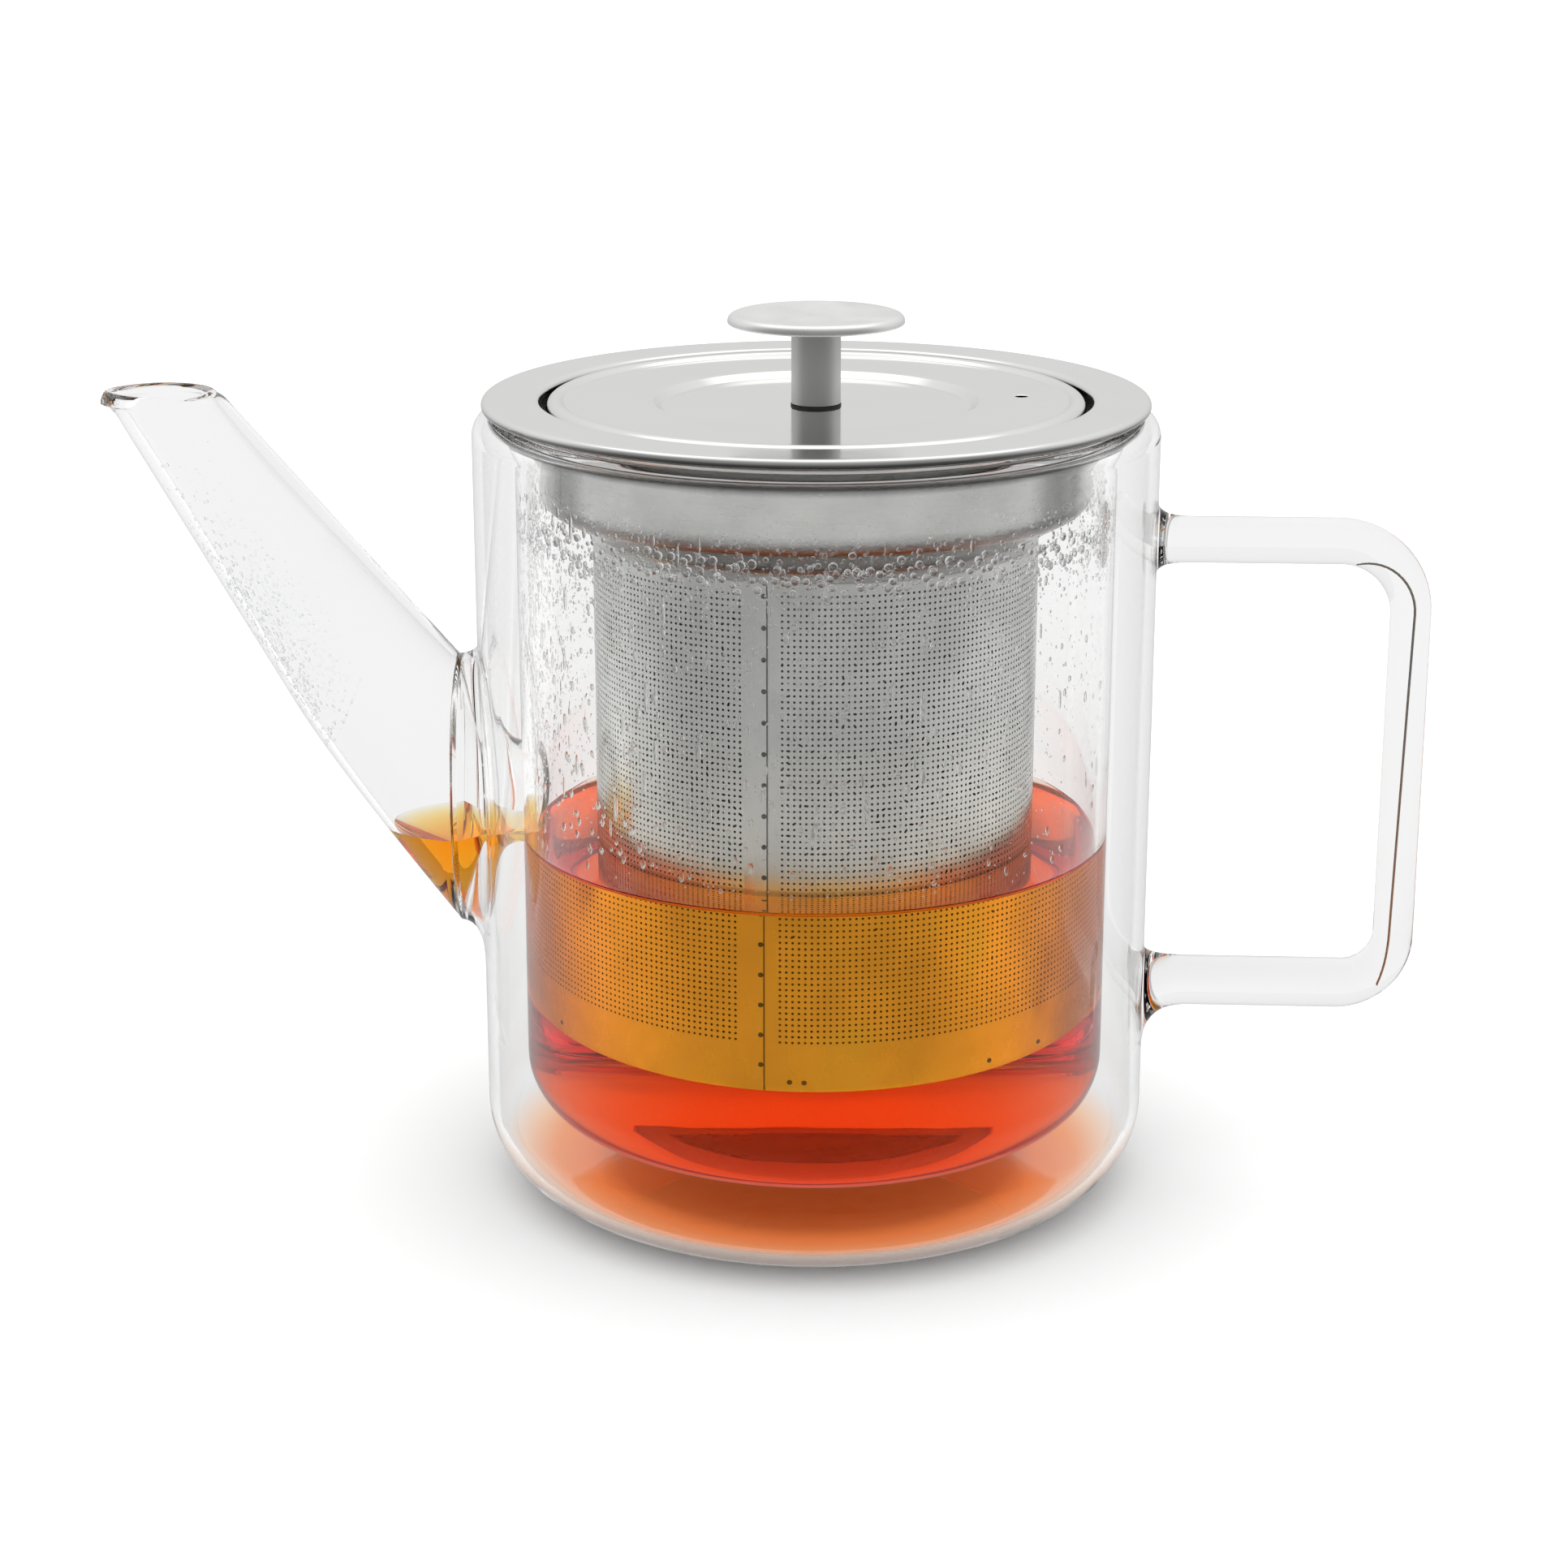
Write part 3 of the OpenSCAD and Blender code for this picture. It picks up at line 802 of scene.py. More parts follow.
def spout_point(t, a, inset):
    """A point of the spout's outer face, or of a face inset from it; a runs round from the top."""
    low, top = lower_edge(t), mix_points(MOUTH, (-JOINT_X, JOINT_Z + JOINT_HALF_H), t)
    half = ((top[0] - low[0]) / 2, (top[1] - low[1]) / 2)
    along = (1 - inset * mix(1.2, 1, t) / hypot(*half)) * cos(a)
    width = mix(MOUTH_HALF_W, JOINT_HALF_W, t) - inset
    pinch = 1 - LIP_PINCH * fade(t, LIP_T) * max(0, -cos(a)) ** 2
    middle = mix_points(low, top, 0.5)
    return (middle[0] + half[0] * along - SPOUT_GAP, width * pinch * sin(a), middle[1] + half[1] * along)


def spout_ring(t, inset, lift=0.0, rise=0.0):
    """One ring of a face, moved up by lift and by twice the rise at the lip."""
    ring = []
    for a in turns(SPOUT_SIDES):
        x, y, z = spout_point(t, a, inset)
        ring.append((x, y, z + lift + rise * (1 - cos(a))))
    return ring


def spout():
    """Both faces of the spout, each from the mouth to the joint, and the round rim between them."""
    steps = [s ** 1.15 for s in shares(SPOUT_STEPS)]
    rings = [spout_ring(t, 0, -RIM_RISE * fade(t, 0.02)) for t in steps]
    for t in reversed(steps):
        rings.append(spout_ring(t, spout_wall(t), -RIM_RISE * fade(t, 0.02), LIP_RISE * fade(t, 0.04)))
    for share in (0.96, 0.85, 0.7, 0.5, 0.3, 0.15, 0.04):
        crest, rise = RIM_RISE * (sin(pi * share) - 1), LIP_RISE * sqrt(1 - (1 - share) ** 2)
        rings.append(spout_ring(0, SPOUT_WALL * share, crest, rise))
    shape = Shape()
    first = shape.ring(rings[0])
    shape.tube(first, rings[1:], first)
    mesh_piece("spout", [shape], GLASS, "pot", ("spout",), sharp=60)


# ---- Tea
TEA_CLIMB = 1.3


def tea_body():
    """Tea in the vessel, a touch into the glass so no air shows between, with its edge drawn up the wall."""
    profile = [(r, VESSEL_Z + GLASS_T - TEA_INTO_GLASS) for r in (0, 15, 30, 40)]
    profile += arc(EDGE_X, EDGE_Z, VESSEL_EDGE_R - GLASS_T + TEA_INTO_GLASS, -90, 0, 16)
    profile += [(BORE_R + TEA_INTO_GLASS, z) for z in (30, 36, 44, 52, 60, 66, TEA_Z + TEA_CLIMB)]
    for off in (0.05, 0.3, 0.7, 1.2, 2, 3, 4.5):
        profile.append((BORE_R - off, TEA_Z + TEA_CLIMB * exp(-(off + 0.1) / 0.8)))
    profile += [(r, TEA_Z) for r in (45, 30, 15, 0)]
    mesh_piece("tea", [lathed(profile)], TEA, "pot", sharp=70)


def tea_in_spout():
    """Tea standing in the funnel and in the foot of the spout, cut level."""
    grow = TEA_INTO_GLASS
    rings = [spout_ring(t, spout_wall(t) - grow) for t in (mix(0.45, 1, s) for s in shares(40))]
    angles = [pi / 2 - a for a in turns(SPOUT_SIDES)]
    for s in reversed(shares(23)):
        half_w, half_h, mid_z = mix_points(PORT, joint_size(JOINT_WALL), s ** 2.3)
        x = -mix(BORE_R - 0.2, JOINT_X - 0.1, s)
        rings.append(flat_oval(angles, (half_w + grow, half_h + grow, mid_z), x))
    shape = Shape()
    shape.capped(rings, middle_of(rings[0]), middle_of(rings[-1]))
    piece = mesh_piece("tea_in_spout", [shape], SPOUT_TEA, "pot", sharp=70)
    level = bmesh.new()
    level.from_mesh(piece.data)
    whole = level.verts[:] + level.edges[:] + level.faces[:]
    cut = bmesh.ops.bisect_plane(level, geom=whole, plane_co=UP * TEA_Z * MM, plane_no=UP, clear_outer=True)
    rim = [e for e in cut["geom_cut"] if isinstance(e, bmesh.types.BMEdge)]
    bmesh.ops.triangle_fill(level, use_beauty=True, edges=rim)
    bmesh.ops.recalc_face_normals(level, faces=level.faces)
    level.to_mesh(piece.data)
    level.free()
    piece.data.shade_smooth()
    piece.data.set_sharp_from_angle(angle=radians(50))


# ---- Condensation
CLEAR_SIDE = 0.92


def spread(centre, side, up, wide, tall, sides):
    """An oval of points round a centre, spanned by two directions."""
    return [tuple(centre + side * (wide * cos(a)) + up * (tall * sin(a))) for a in turns(sides)]


def add_drop(shape, centre, inward, up, r, tall, flat, sides):
    """A low dome of water: its rim sits just inside the glass, its top points inward."""
    side = up.cross(inward).normalized()
    rings = []
    for size, lift in ((1.0, -0.12), (0.8, 0.6)):
        rings.append(spread(centre + inward * (r * flat * lift), side, up, r * size, r * tall * size, sides))
    shape.capped(rings, tuple(centre - inward * (r * flat * 0.12)), tuple(centre + inward * (r * flat)))


def drop_on_wall(shape, turn, z, r, tall, flat, sides):
    outward = Vector(on_round(turn, 0, 1))
    add_drop(shape, outward * BORE_R + UP * z, -outward, UP, r, tall, flat, sides)


def condensation():
    """Mist, beads and short runs on the vessel's wall above the tea."""
    rng = random.Random(7)

    def around():
        """An angle round the vessel: few drops on the handle's side, most at the front and back."""
        while True:
            turn = rng.uniform(0, TAU)
            if rng.random() < 1 - CLEAR_SIDE * max(0, cos(turn)) ** 1.5:
                return turn

    mist = Shape()
    for _ in range(4300):
        z = TEA_Z + 3 + 62 * rng.random() ** 0.8
        drop_on_wall(mist, around(), z, rng.uniform(0.12, 0.28), rng.uniform(0.9, 1.5), 0.5, 5)
    for _ in range(3200):
        turn, z = rng.uniform(0, TAU), rng.triangular(122, 144, 134)
        drop_on_wall(mist, turn, z, rng.uniform(0.16, 0.4), 1.1, 0.5, 5)
    mesh_piece("condensation", [mist], WATER, "pot", sharp=80)
    beads = Shape()
    for _ in range(900):
        z = TEA_Z + 4 + 66 * rng.random()
        drop_on_wall(beads, around(), z, rng.uniform(0.3, 0.6), rng.uniform(1.0, 2.2), 0.42, 7)
    for _ in range(120):
        turn, z = around(), rng.uniform(80, 138)
        drop_on_wall(beads, turn, z, rng.uniform(0.3, 0.55), rng.uniform(3, 7), 0.42, 8)
    for _ in range(60):
        turn, z = rng.uniform(0.6, 2.6), TEA_Z + 1.5 + 5 * rng.random() ** 2
        drop_on_wall(beads, turn, z, rng.uniform(0.3, 0.7), rng.uniform(0.9, 1.6), 0.5, 8)
    for row, count in ((131.4, 150), (133.2, 170), (135.4, 150)):
        for k in range(count):
            turn, z = TAU * (k + rng.uniform(-0.4, 0.4)) / count, row + rng.gauss(0, 0.8)
            drop_on_wall(beads, turn, z, rng.uniform(0.5, 0.9), rng.uniform(0.85, 1.1), 0.55, 10)
    mesh_piece("condensation_beads", [beads], WATER, "pot", sharp=80)


def spout_condensation():
    rng = random.Random(11)
    shape = Shape()
    for _ in range(1100):
        t = min(max(rng.gauss(0.5, 0.13), 0.15), 0.72)
        a = pi + rng.choice((-1, 1)) * abs(rng.gauss(0.75, 0.28))
        places = ((t, a), (t + 0.01, a), (t, a + 0.02), (t, a + pi))
        here, ahead, aside, opposite = (Vector(spout_point(p, q, spout_wall(p))) for p, q in places)
        up, side = (ahead - here).normalized(), (aside - here).normalized()
        inward = up.cross(side).normalized()
        if inward.dot(opposite - here) < 0:
            inward = -inward
        add_drop(shape, here, inward, up, rng.uniform(0.12, 0.3), rng.uniform(0.9, 1.6), 0.5, 6)
    mesh_piece("spout_condensation", [shape], WATER, "pot", sharp=80)


# ---- Steel filter
WET_SHARE = 0.16
WET_Z = 92
WET_BAND = 22
PLAIN_STEPS = 8
LAP_WIDTH = 4.2
LAP_PROUD = 0.22


def steel_ring(name, profile, look):
    """A closed profile turned into the filter's node of that name."""
    mesh_piece(name, [lathed(profile, closed=True)], look, "filter", (name,), sharp=50)


def filter_collar():
    roll, lip, sheet = 1.0, 1.1, 0.7
    inner = NECK_R - 0.5
    profile = arc(COLLAR_R - roll, COLLAR_Z - roll, roll, 90, -180, 28)
    profile += [(COLLAR_R - 2 * roll, COLLAR_Z - sheet), (inner + lip + 3, COLLAR_Z - sheet)]
    profile += arc(inner + lip, COLLAR_Z - lip, lip - sheet, 90, 180, 8)
    profile += [(inner + sheet, COLLAR_Z - lip - sheet), (inner, COLLAR_Z - lip - sheet)]
    profile += arc(inner + lip, COLLAR_Z - lip, lip, 180, 90, 14)
    profile += [(mix(inner + lip, COLLAR_R - roll, s), COLLAR_Z) for s in shares(6)[1:-1]]
    steel_ring("filter_collar", profile, COLLAR_STEEL)


def filter_neck():
    """Straight neck, rounded turn, slope and waist, and a spigot in the sleeve's top."""
    top_z, slope = COLLAR_Z - 1.8, radians(60)
    knuckle, waist, sheet = 5, 3, 0.5
    turn_x, waist_x, spigot_x = NECK_R - knuckle, SLEEVE_R + waist, SLEEVE_R - 0.42
    run = turn_x - waist_x + (knuckle + waist) * 0.5
    waist_z = NECK_LOW_Z - (knuckle + waist) * sin(slope) - run / tan(slope)
    profile = [(NECK_R, mix(top_z, NECK_LOW_Z, s)) for s in shares(8)[:-1]]
    profile += arc(turn_x, NECK_LOW_Z, knuckle, 0, -60, 14) + arc(waist_x, waist_z, waist, 120, 180, 10)
    profile += [(spigot_x + 0.02, SLEEVE_TOP_Z - 0.1), (spigot_x, SLEEVE_TOP_Z - 2.4)]
    profile += [(spigot_x - 0.43, SLEEVE_TOP_Z - 2.4)] + arc(waist_x, waist_z, waist + sheet, 180, 120, 10)
    profile += arc(turn_x, NECK_LOW_Z, knuckle - sheet, -60, 0, 14)
    profile += [(NECK_R - sheet, mix(NECK_LOW_Z, top_z, s)) for s in shares(8)[1:]]
    steel_ring("filter_neck", profile, NECK_STEEL)


def perforated(shape, radius, shift, sides):
    """A square grid of holes all round but for the plain band at the seam; gives back the edge rings.

    Some holes above the tea hold water and look longer.
    """
    start = SEAM_ANGLE + SEAM_RIGHT / SLEEVE_R
    plain = (SEAM_LEFT + SEAM_RIGHT) / SLEEVE_R
    cell = (TAU - plain) / HOLE_COLUMNS
    pitch = (HOLE_TOP_Z - HOLE_LOW_Z) / HOLE_ROWS
    columns = [start + cell * (k + shift) for k in range(HOLE_COLUMNS + 1)]
    columns += [columns[-1] + plain * s for s in shares(PLAIN_STEPS)[1:-1]]
    heights = [HOLE_LOW_Z + pitch * (k + shift) for k in range(HOLE_ROWS + 1)]
    grid = [shape.ring([on_round(t, z, radius) for t in columns]) for z in heights]
    count = len(columns)
    rng = random.Random(5)
    for j in range(HOLE_ROWS):
        mid_z = heights[j] + pitch / 2
        for i in range(count):
            corners = (grid[j][(i + 1) % count], grid[j + 1][(i + 1) % count], grid[j + 1][i], grid[j][i])
            if i >= HOLE_COLUMNS:
                shape.faces.append(corners)
                continue
            wet = WET_SHARE * fade(mid_z - WET_Z, WET_BAND)
            stretch = rng.uniform(1.5, 2.0) if rng.random() < wet else 1
            lean = rng.uniform(0, pi)
            rim = []
            for a in turns(sides):
                a += pi / sides - lean
                out, along = HOLE_R * stretch * cos(a), HOLE_R * sin(a)
                x, z = out * cos(lean) - along * sin(lean), out * sin(lean) + along * cos(lean)
                rim.append(on_round(columns[i] + cell / 2 + x / SLEEVE_R, mid_z + z, radius))
            shape.faces += around_hole(corners, shape.ring(rim))
    return columns, grid[0], grid[-1]


def around_hole(corners, rim):
    """Faces between a cell's four corners (from low right, turning left) and the rim of its hole."""
    d, a, b, c = corners
    if len(rim) == 4:
        p, q, r, s = rim
        return [(a, b, q, p), (b, c, r, q), (c, d, s, r), (d, a, p, s)]
    p, q, r, s, t, u = rim
    return [(a, b, q, p), (c, d, t, s), (b, r, q), (b, c, r), (c, s, r), (d, u, t), (d, a, u), (a, p, u)]


def filter_sleeve():
    """Rolled sheet with round perforations, plain bands at both ends and beside the lap seam."""
    shape = Shape()
    columns, low_edge, high_edge = perforated(shape, SLEEVE_R, 0, 6)
    low = [(SLEEVE_R, z) for z in (40, 37, 34)] + arc(SLEEVE_R - 0.2, SLEEVE_LOW_Z + 0.2, 0.2, 0, -180, 6)
    low += [(SLEEVE_R - 0.4, z) for z in (35, 38)]
    high = [(SLEEVE_R, SLEEVE_TOP_Z - 0.5), (SLEEVE_R, SLEEVE_TOP_Z - 0.12)]
    high.append((SLEEVE_R - 0.12, SLEEVE_TOP_Z - 0.02))
    for edge, profile in ((low_edge, low), (high_edge, high)):
        shape.tube(edge, [[on_round(t, z, r) for t in columns] for r, z in profile])
    nodes = ("filter_sleeve",)
    mesh_piece("filter_sleeve", [shape], FILTER_STEEL, "filter", nodes, sharp=60)


def sleeve_inside():
    """The sheet's inner face, dark as painted shade of the closed pot's inside. Its holes lie between the
    outer ones, so light is stopped.
    """
    shape = Shape()
    inner = SLEEVE_R - 0.38
    columns, low_edge, high_edge = perforated(shape, inner, 0.5, 4)
    for edge, z in ((low_edge, 38), (high_edge, SLEEVE_TOP_Z - 2.6)):
        shape.tube(edge, [[on_round(t, z, inner) for t in columns]])
    mesh_piece("sleeve_inside", [shape], INSIDE_SHADE_STEEL, "filter", sharp=60)


def seam_rings(outline, ends):
    """Rings up the sleeve from an outline of (distance round from the seam, distance from the sheet)."""
    heights = [mix(SLEEVE_LOW_Z + ends, SLEEVE_TOP_Z - ends, s) for s in shares(24)]
    return [[on_round(SEAM_ANGLE + x / SLEEVE_R, z, SLEEVE_R + out) for x, out in outline] for z in heights]


def lap_seam():
    """The sheet's overlapping edge: a thin strip that stands proud and ends at the seam line."""
    outline = [(0, 0.02), (0, LAP_PROUD)]
    outline += [(-LAP_WIDTH * s, LAP_PROUD * (1 - s ** 2) + 0.02) for s in shares(10)[1:]]
    outline += [(-LAP_WIDTH * s, -0.1) for s in reversed(shares(4))]
    rings = seam_rings(outline, 0.1)
    mesh_piece("sleeve_lap", [rod(rings)], FILTER_STEEL, "filter", sharp=30)


def seam_line():
    """The dark line where the lap ends."""
    rings = seam_rings(((0.02, 0), (0.02, 0.24), (0.2, 0.24), (0.2, 0)), 0.15)
    mesh_piece("sleeve_seam", [rod(rings)], WELD_STEEL, "filter", sharp=30)


def weld_dots():
    """Spot welds: a column beside the seam and a row above the bottom edge."""
    shape = Shape()
    rng = random.Random(3)
    spots = [(-0.45, 5.2 + 5.9 * k, 0.24) for k in range(16)]
    for along in (-2.0, 4.5, 7.0, 41.6, 54.4, 85, 88, 120, 152, 190, 220):
        spots.append((along, 1.9 + rng.uniform(-0.15, 0.15), 0))
    for along, up, proud in spots:
        outward = Vector(on_round(SEAM_ANGLE + along / SLEEVE_R, 0, 1))
        centre = outward * (SLEEVE_R + proud) + UP * (SLEEVE_LOW_Z + up)
        rings = []
        for r, lift in ((0.5, -0.05), (0.46, 0.08), (0.36, 0.1), (0.26, 0.02)):
            rings.append(spread(centre + outward * lift, UP.cross(outward), UP, r, r, 14))
        shape.capped(rings, tuple(centre - outward * 0.05), tuple(centre + outward * 0.02))
    mesh_piece("spot_welds", [shape], WELD_STEEL, "filter", sharp=50)


# ---- Lid
VENT_COLUMN = 5
VENT_HALF = 3


def row_at(profile, r, z):
    """Index of the profile point nearest to a radius and height."""
    return min(range(len(profile)), key=lambda i: abs(profile[i][0] - r) + abs(profile[i][1] - z))


def lid_plate():
    """Pressed lid: flat ring with a rolled edge, shallow recess and a round steam vent."""
    shape = Shape()
    under, low_under = LID_RING_Z - LID_T, LID_RECESS_Z - LID_T
    crest = COLLAR_Z - 0.02
    vent_rows = [VENT[0] + step for step in (-2.8, -1.4, 0, 1.4, 2.8)]
    profile = [(r, LID_RECESS_Z) for r in (0, 8, 16, 24, 28.6)]
    profile += arc(28.9, LID_RECESS_Z + 0.5, 0.5, -90, -45, 4) + arc(31.0, LID_RING_Z - 0.6, 0.6, 135, 90, 5)
    profile += [(r, LID_RING_Z) for r in (33, *vent_rows, 44, 47.5)]
    profile += arc(LID_R - 3.6, LID_RING_Z + 0.5, 0.5, -90, -45, 4)
    profile += arc(LID_R - 1.9, crest - 1.9, 1.9, 125, 0, 24)
    profile += [(LID_R, crest - 2.6), (LID_R, LEDGE_Z + 0.15), (LID_R - 0.3, LEDGE_Z)]
    profile += [(LID_R - LID_T, LEDGE_Z + 0.15), (LID_R - LID_T, crest - 1.2)]
    profile += [(r, under) for r in (LID_R - 1.8, 44, *reversed(vent_rows), 33, 31.2)]
    profile += [(r, low_under) for r in (28.8, 16, 0)]
    ports = []
    for z in (LID_RING_Z, under):
        near, far = row_at(profile, vent_rows[0], z), row_at(profile, vent_rows[-1], z)
        ports.append((near, far, VENT_COLUMN, VENT_HALF))
    upper, lower = lathe(shape, profile, ports=ports)
    around = [atan2(shape.points[i][1] - VENT[1], shape.points[i][0] - VENT[0]) for i in upper]
    rings = []
    top = LID_RING_Z
    for wider, z in ((0.5, top), (0.2, top - 0.03), (0, top - 0.15), (0, under + 0.1), (0.1, under)):
        r = VENT_R + wider
        rings.append([(VENT[0] + r * cos(t), VENT[1] + r * sin(t), z) for t in around])
    shape.tube(upper, rings, lower)
    mesh_piece("lid_plate", [shape], POLISHED, "lid", ("lid_plate",), sharp=50)


def knob_stem():
    top = DISC_LOW_Z - 0.02
    profile = [(0, STEM_Z + 0.01), (STEM_R - 0.2, STEM_Z + 0.01), (STEM_R, STEM_Z + 0.15)]
    profile += [(STEM_R, mix(STEM_Z + 0.3, top - 0.3, s)) for s in shares(8)] + [(STEM_R, top), (0, top)]
    mesh_piece("knob_stem", [lathed(profile, 128)], BRUSHED, "lid", ("knob_stem",))


def knob_disc():
    under, over = 0.4, DISC_Z - DISC_LOW_Z - 0.5
    profile = [(r, DISC_LOW_Z) for r in (0, 6, DISC_R - under)]
    profile += arc(DISC_R - under, DISC_LOW_Z + under, under, -80, 0, 5)
    profile += arc(DISC_R - over, DISC_Z - over, over, 0, 90, 10) + [(r, DISC_Z) for r in (14, 9, 4, 0)]
    mesh_piece("knob_disc", [lathed(profile, 192)], KNOB_STEEL, "lid", ("knob_disc",))


def dress_cad_nodes():
    """CAD nodes that keep their own shape get these materials."""
    # The lid's seat and skirt take the neck steel, with its painted shade and shadow.
    for node, look in (("filter_base", BASE_STEEL), ("lid_seat", NECK_STEEL), ("lid_skirt", NECK_STEEL),
                       ("stem_washer", RUBBER), ("knob_washer", BRUSHED), ("knob_screw", BRUSHED)):
        for place in frame["nodes"][node].material_slots:
            place.material = look.holder


# ---- Studio
CAMERA = (0.02648, -0.62067, 0.26784)
AIM = (-0.00603, -0.00032, 0.07851)
LENS = 76.26
FLOOR_SIZE = 12

# Glass surfaces passed on the way, by which the floor and the world tell what a ray has come through.
WALLS_OF_HANDLE = 2.5
WALLS_OF_SPOUT = 5.5
WALLS_OF_VESSEL = 9.5
WALLS_TWICE = 12.5

# How bright the floor is as seen in each way, and the light it gives under the pot.
FLOOR_DIRECT = 1.02
FLOOR_THROUGH_GLASS = 0.22
FLOOR_FILL = 0.63
FLOOR_SCATTERED = 0.8
FLOOR_IN_VEIL = 0.38
FLOOR_BEHIND_TEA = 0.95
FILL_AT_EDGE = 0.18
FILL_IN_TEA = 0.42
TEA_LIGHT = [(0.0, (0.25, 0.03, 0.003)), (0.38, (0.36, 0.05, 0.006)), (0.49, (0.46, 0.08, 0.012)),
             (0.56, (0.78, 0.17, 0.03)), (0.66, (0.84, 0.26, 0.07)), (0.76, (0.8, 0.47, 0.28))]
INSIDE_DIMMED = 0.65


def camera():
    data = bpy.data.cameras.new("camera")
    data.lens = LENS
    data.sensor_width = 36
    data.clip_end = 50
    holder = bpy.data.objects.new("camera", data)
    bpy.context.scene.collection.objects.link(holder)
    holder.location = CAMERA
    holder.rotation_euler = (Vector(AIM) - Vector(CAMERA)).to_track_quat("-Z", "Y").to_euler()
    bpy.context.scene.camera = holder


def floor_look():
    """Pale table: brightest where nothing stands before it, darker towards the camera in reflections.

    Seen through the glass it glows near the pot, in place of the light that the tea throws on it.
    """
    look = new_look("studio_floor")
    look.nodes.remove(look.shader)
    reflected = look.deeper("Glossy Depth", 0.5)
    scattered = look.deeper("Diffuse Depth", 0.5)
    camera_ray = look.node("LightPath", {})["Is Camera Ray"]
    in_veil, many_walls, through_tea, twice = (
        look.deeper("Transmission Depth", walls)
        for walls in (WALLS_OF_HANDLE, WALLS_OF_SPOUT, WALLS_OF_VESSEL, WALLS_TWICE))
    y = look.axis("Y")
    far = look.node("VectorMath", {0: look.place()}, operation="LENGTH")["Value"]

    along = look.gradient(y, -1, 1, [(0.0, 0.5), (0.42, 0.5), (0.56, 0.8), (1.0, 0.9)])
    beside = look.gradient(y, -0.2, 0.2, [(0.0, 1.0), (0.55, 1.0), (0.8, 0.78), (1.0, 0.74)])
    in_tea = look.gradient(y, -1, 1, [(0.0, 0.5), (0.44, 0.5), (0.5, 0.92), (1.0, 0.92)])
    # Painted tea light near the pot in reflections: dim and orange close in, white further out.
    painted_tea_light = look.gradient(far, 0.045, 0.078, [(0.0, (0.45, 0.2, 0.1)), (0.5, (0.95, 0.7, 0.56)), (1.0, 1.0)])
    mirrored = look.choose(in_veil, beside, FLOOR_IN_VEIL)
    mirrored = look.choose(many_walls, mirrored, along)
    mirrored = look.choose(through_tea, mirrored, look.choose(twice, in_tea, FLOOR_BEHIND_TEA))
    shaded = look.gradient(far, 0.05, 0.078, [(0.0, 0.04), (1.0, FLOOR_THROUGH_GLASS)])
    tone = look.choose(reflected, shaded, look.times(mirrored, painted_tea_light))
    tone = look.choose(scattered, tone, FLOOR_SCATTERED)
    tone = look.choose(camera_ray, tone, FLOOR_DIRECT)
    uneven = look.ramp(look.noise(3, 2), [(0.3, 0.985), (0.7, 1)])
    table = look.node("BsdfDiffuse", {"Color": look.times(tone, uneven)})

    under = look.gradient(far, 0.06, 0.09, [(0.0, 1.0), (0.5, 1.0), (1.0, 0.0)])
    mirror_fill = look.times(look.choose(through_tea, FILL_AT_EDGE, FILL_IN_TEA), under)
    fill = look.choose(reflected, look.gradient(far, 0, 0.08, TEA_LIGHT + [(0.9, FLOOR_FILL)]), mirror_fill)
    fill = look.choose(camera_ray, look.choose(scattered, fill, 0), 0)
    glow = look.node("Emission", {"Color": fill})
    both = look.node("AddShader", {0: table["BSDF"], 1: glow["Emission"]})
    look.feed(look.nodes["Material Output"], {"Surface": both["Shader"]})
    return look


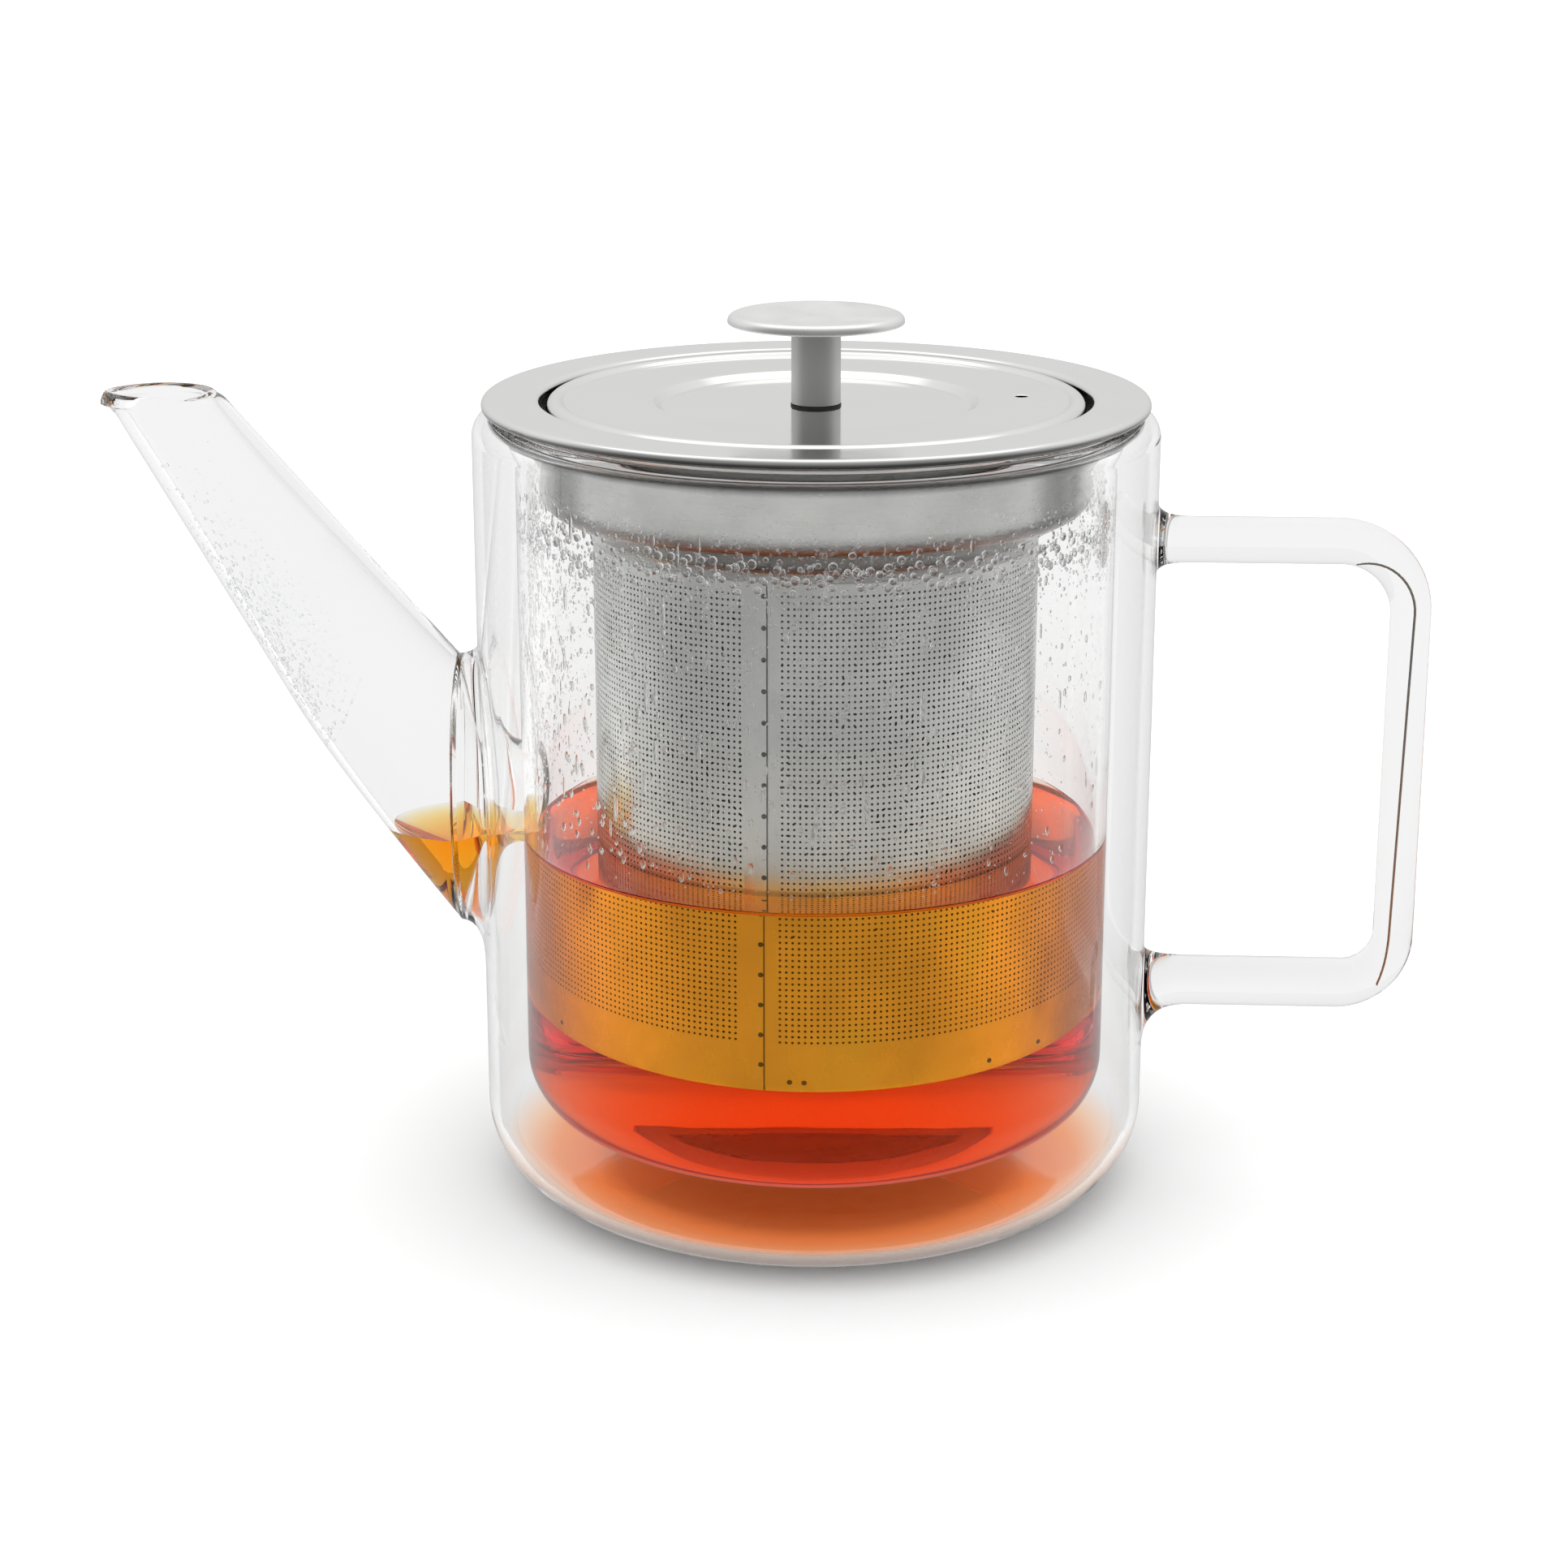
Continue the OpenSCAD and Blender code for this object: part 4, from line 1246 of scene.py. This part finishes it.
def floor():
    mesh = bpy.data.meshes.new("studio_floor")
    corners = [(FLOOR_SIZE * x, FLOOR_SIZE * y, 0) for x, y in ((-1, -1), (1, -1), (1, 1), (-1, 1))]
    mesh.from_pydata(corners, [], [(0, 1, 2, 3)])
    mesh.materials.append(floor_look().holder)
    plane = bpy.data.objects.new("studio_floor", mesh)
    plane.location.z = -0.0002
    bpy.context.scene.collection.objects.link(plane)
    plane.visible_glossy = False


def world():
    """Soft white light all round, and for reflections a studio that is darker on the camera's side."""
    look = Look(bpy.data.worlds.new("studio"))
    y, z = look.axis("Y", "Generated"), look.axis("Z", "Generated")
    path = look.node("LightPath", {})
    lit = look.gradient(z, -1, 1, [(0.0, 0.95), (0.5, 0.98), (0.62, 1.05), (1.0, 1.5)])
    depth = look.gradient(y, -1, 1, [(0.0, 0.26), (0.3, 0.3), (0.62, 0.77), (1.0, 0.77)])
    tones = [(0.0, 0.5), (0.45, 0.8), (0.6, 1.0), (0.85, 1.2), (0.9, 1.8), (1.0, 2.0)]
    height = look.gradient(z, -1, 1, tones)
    beyond = look.gradient(y, -1, 1, [(0.0, 0.5), (0.35, 0.6), (0.6, 0.84), (1.0, 0.88)])
    inside = look.deeper("Transmission Depth", WALLS_OF_SPOUT)
    in_tea = look.deeper("Transmission Depth", WALLS_OF_VESSEL)
    dimmed = look.choose(inside, beyond, look.times(beyond, INSIDE_DIMMED))
    beyond = look.choose(in_tea, dimmed, beyond)
    mirror = look.choose(path["Is Transmission Ray"], look.times(depth, height), beyond)
    mirror = look.choose(look.deeper("Diffuse Depth", 0.5), mirror, lit)
    light = look.choose(path["Is Glossy Ray"], lit, mirror)
    look.feed(look.nodes["Background"], {"Color": light, "Strength": 1})
    bpy.context.scene.world = look.holder


def studio():
    scene = bpy.context.scene
    camera()
    floor()
    world()
    scene.view_settings.view_transform = "Standard"
    for kind in ("max", "transmission", "glossy"):
        setattr(scene.cycles, kind + "_bounces", 40)
    scene.cycles.diffuse_bounces = 4
    scene.cycles.transparent_max_bounces = 16
    scene.cycles.caustics_refractive = True
    scene.cycles.caustics_reflective = False
    scene.cycles.sample_clamp_indirect = 6


for build in (studio, glass_body, grip_painted_refraction, spout, tea_body, tea_in_spout, condensation, spout_condensation,
              filter_collar, filter_neck, filter_sleeve, sleeve_inside, lap_seam, seam_line, weld_dots,
              lid_plate, knob_stem, knob_disc, dress_cad_nodes):
    build()
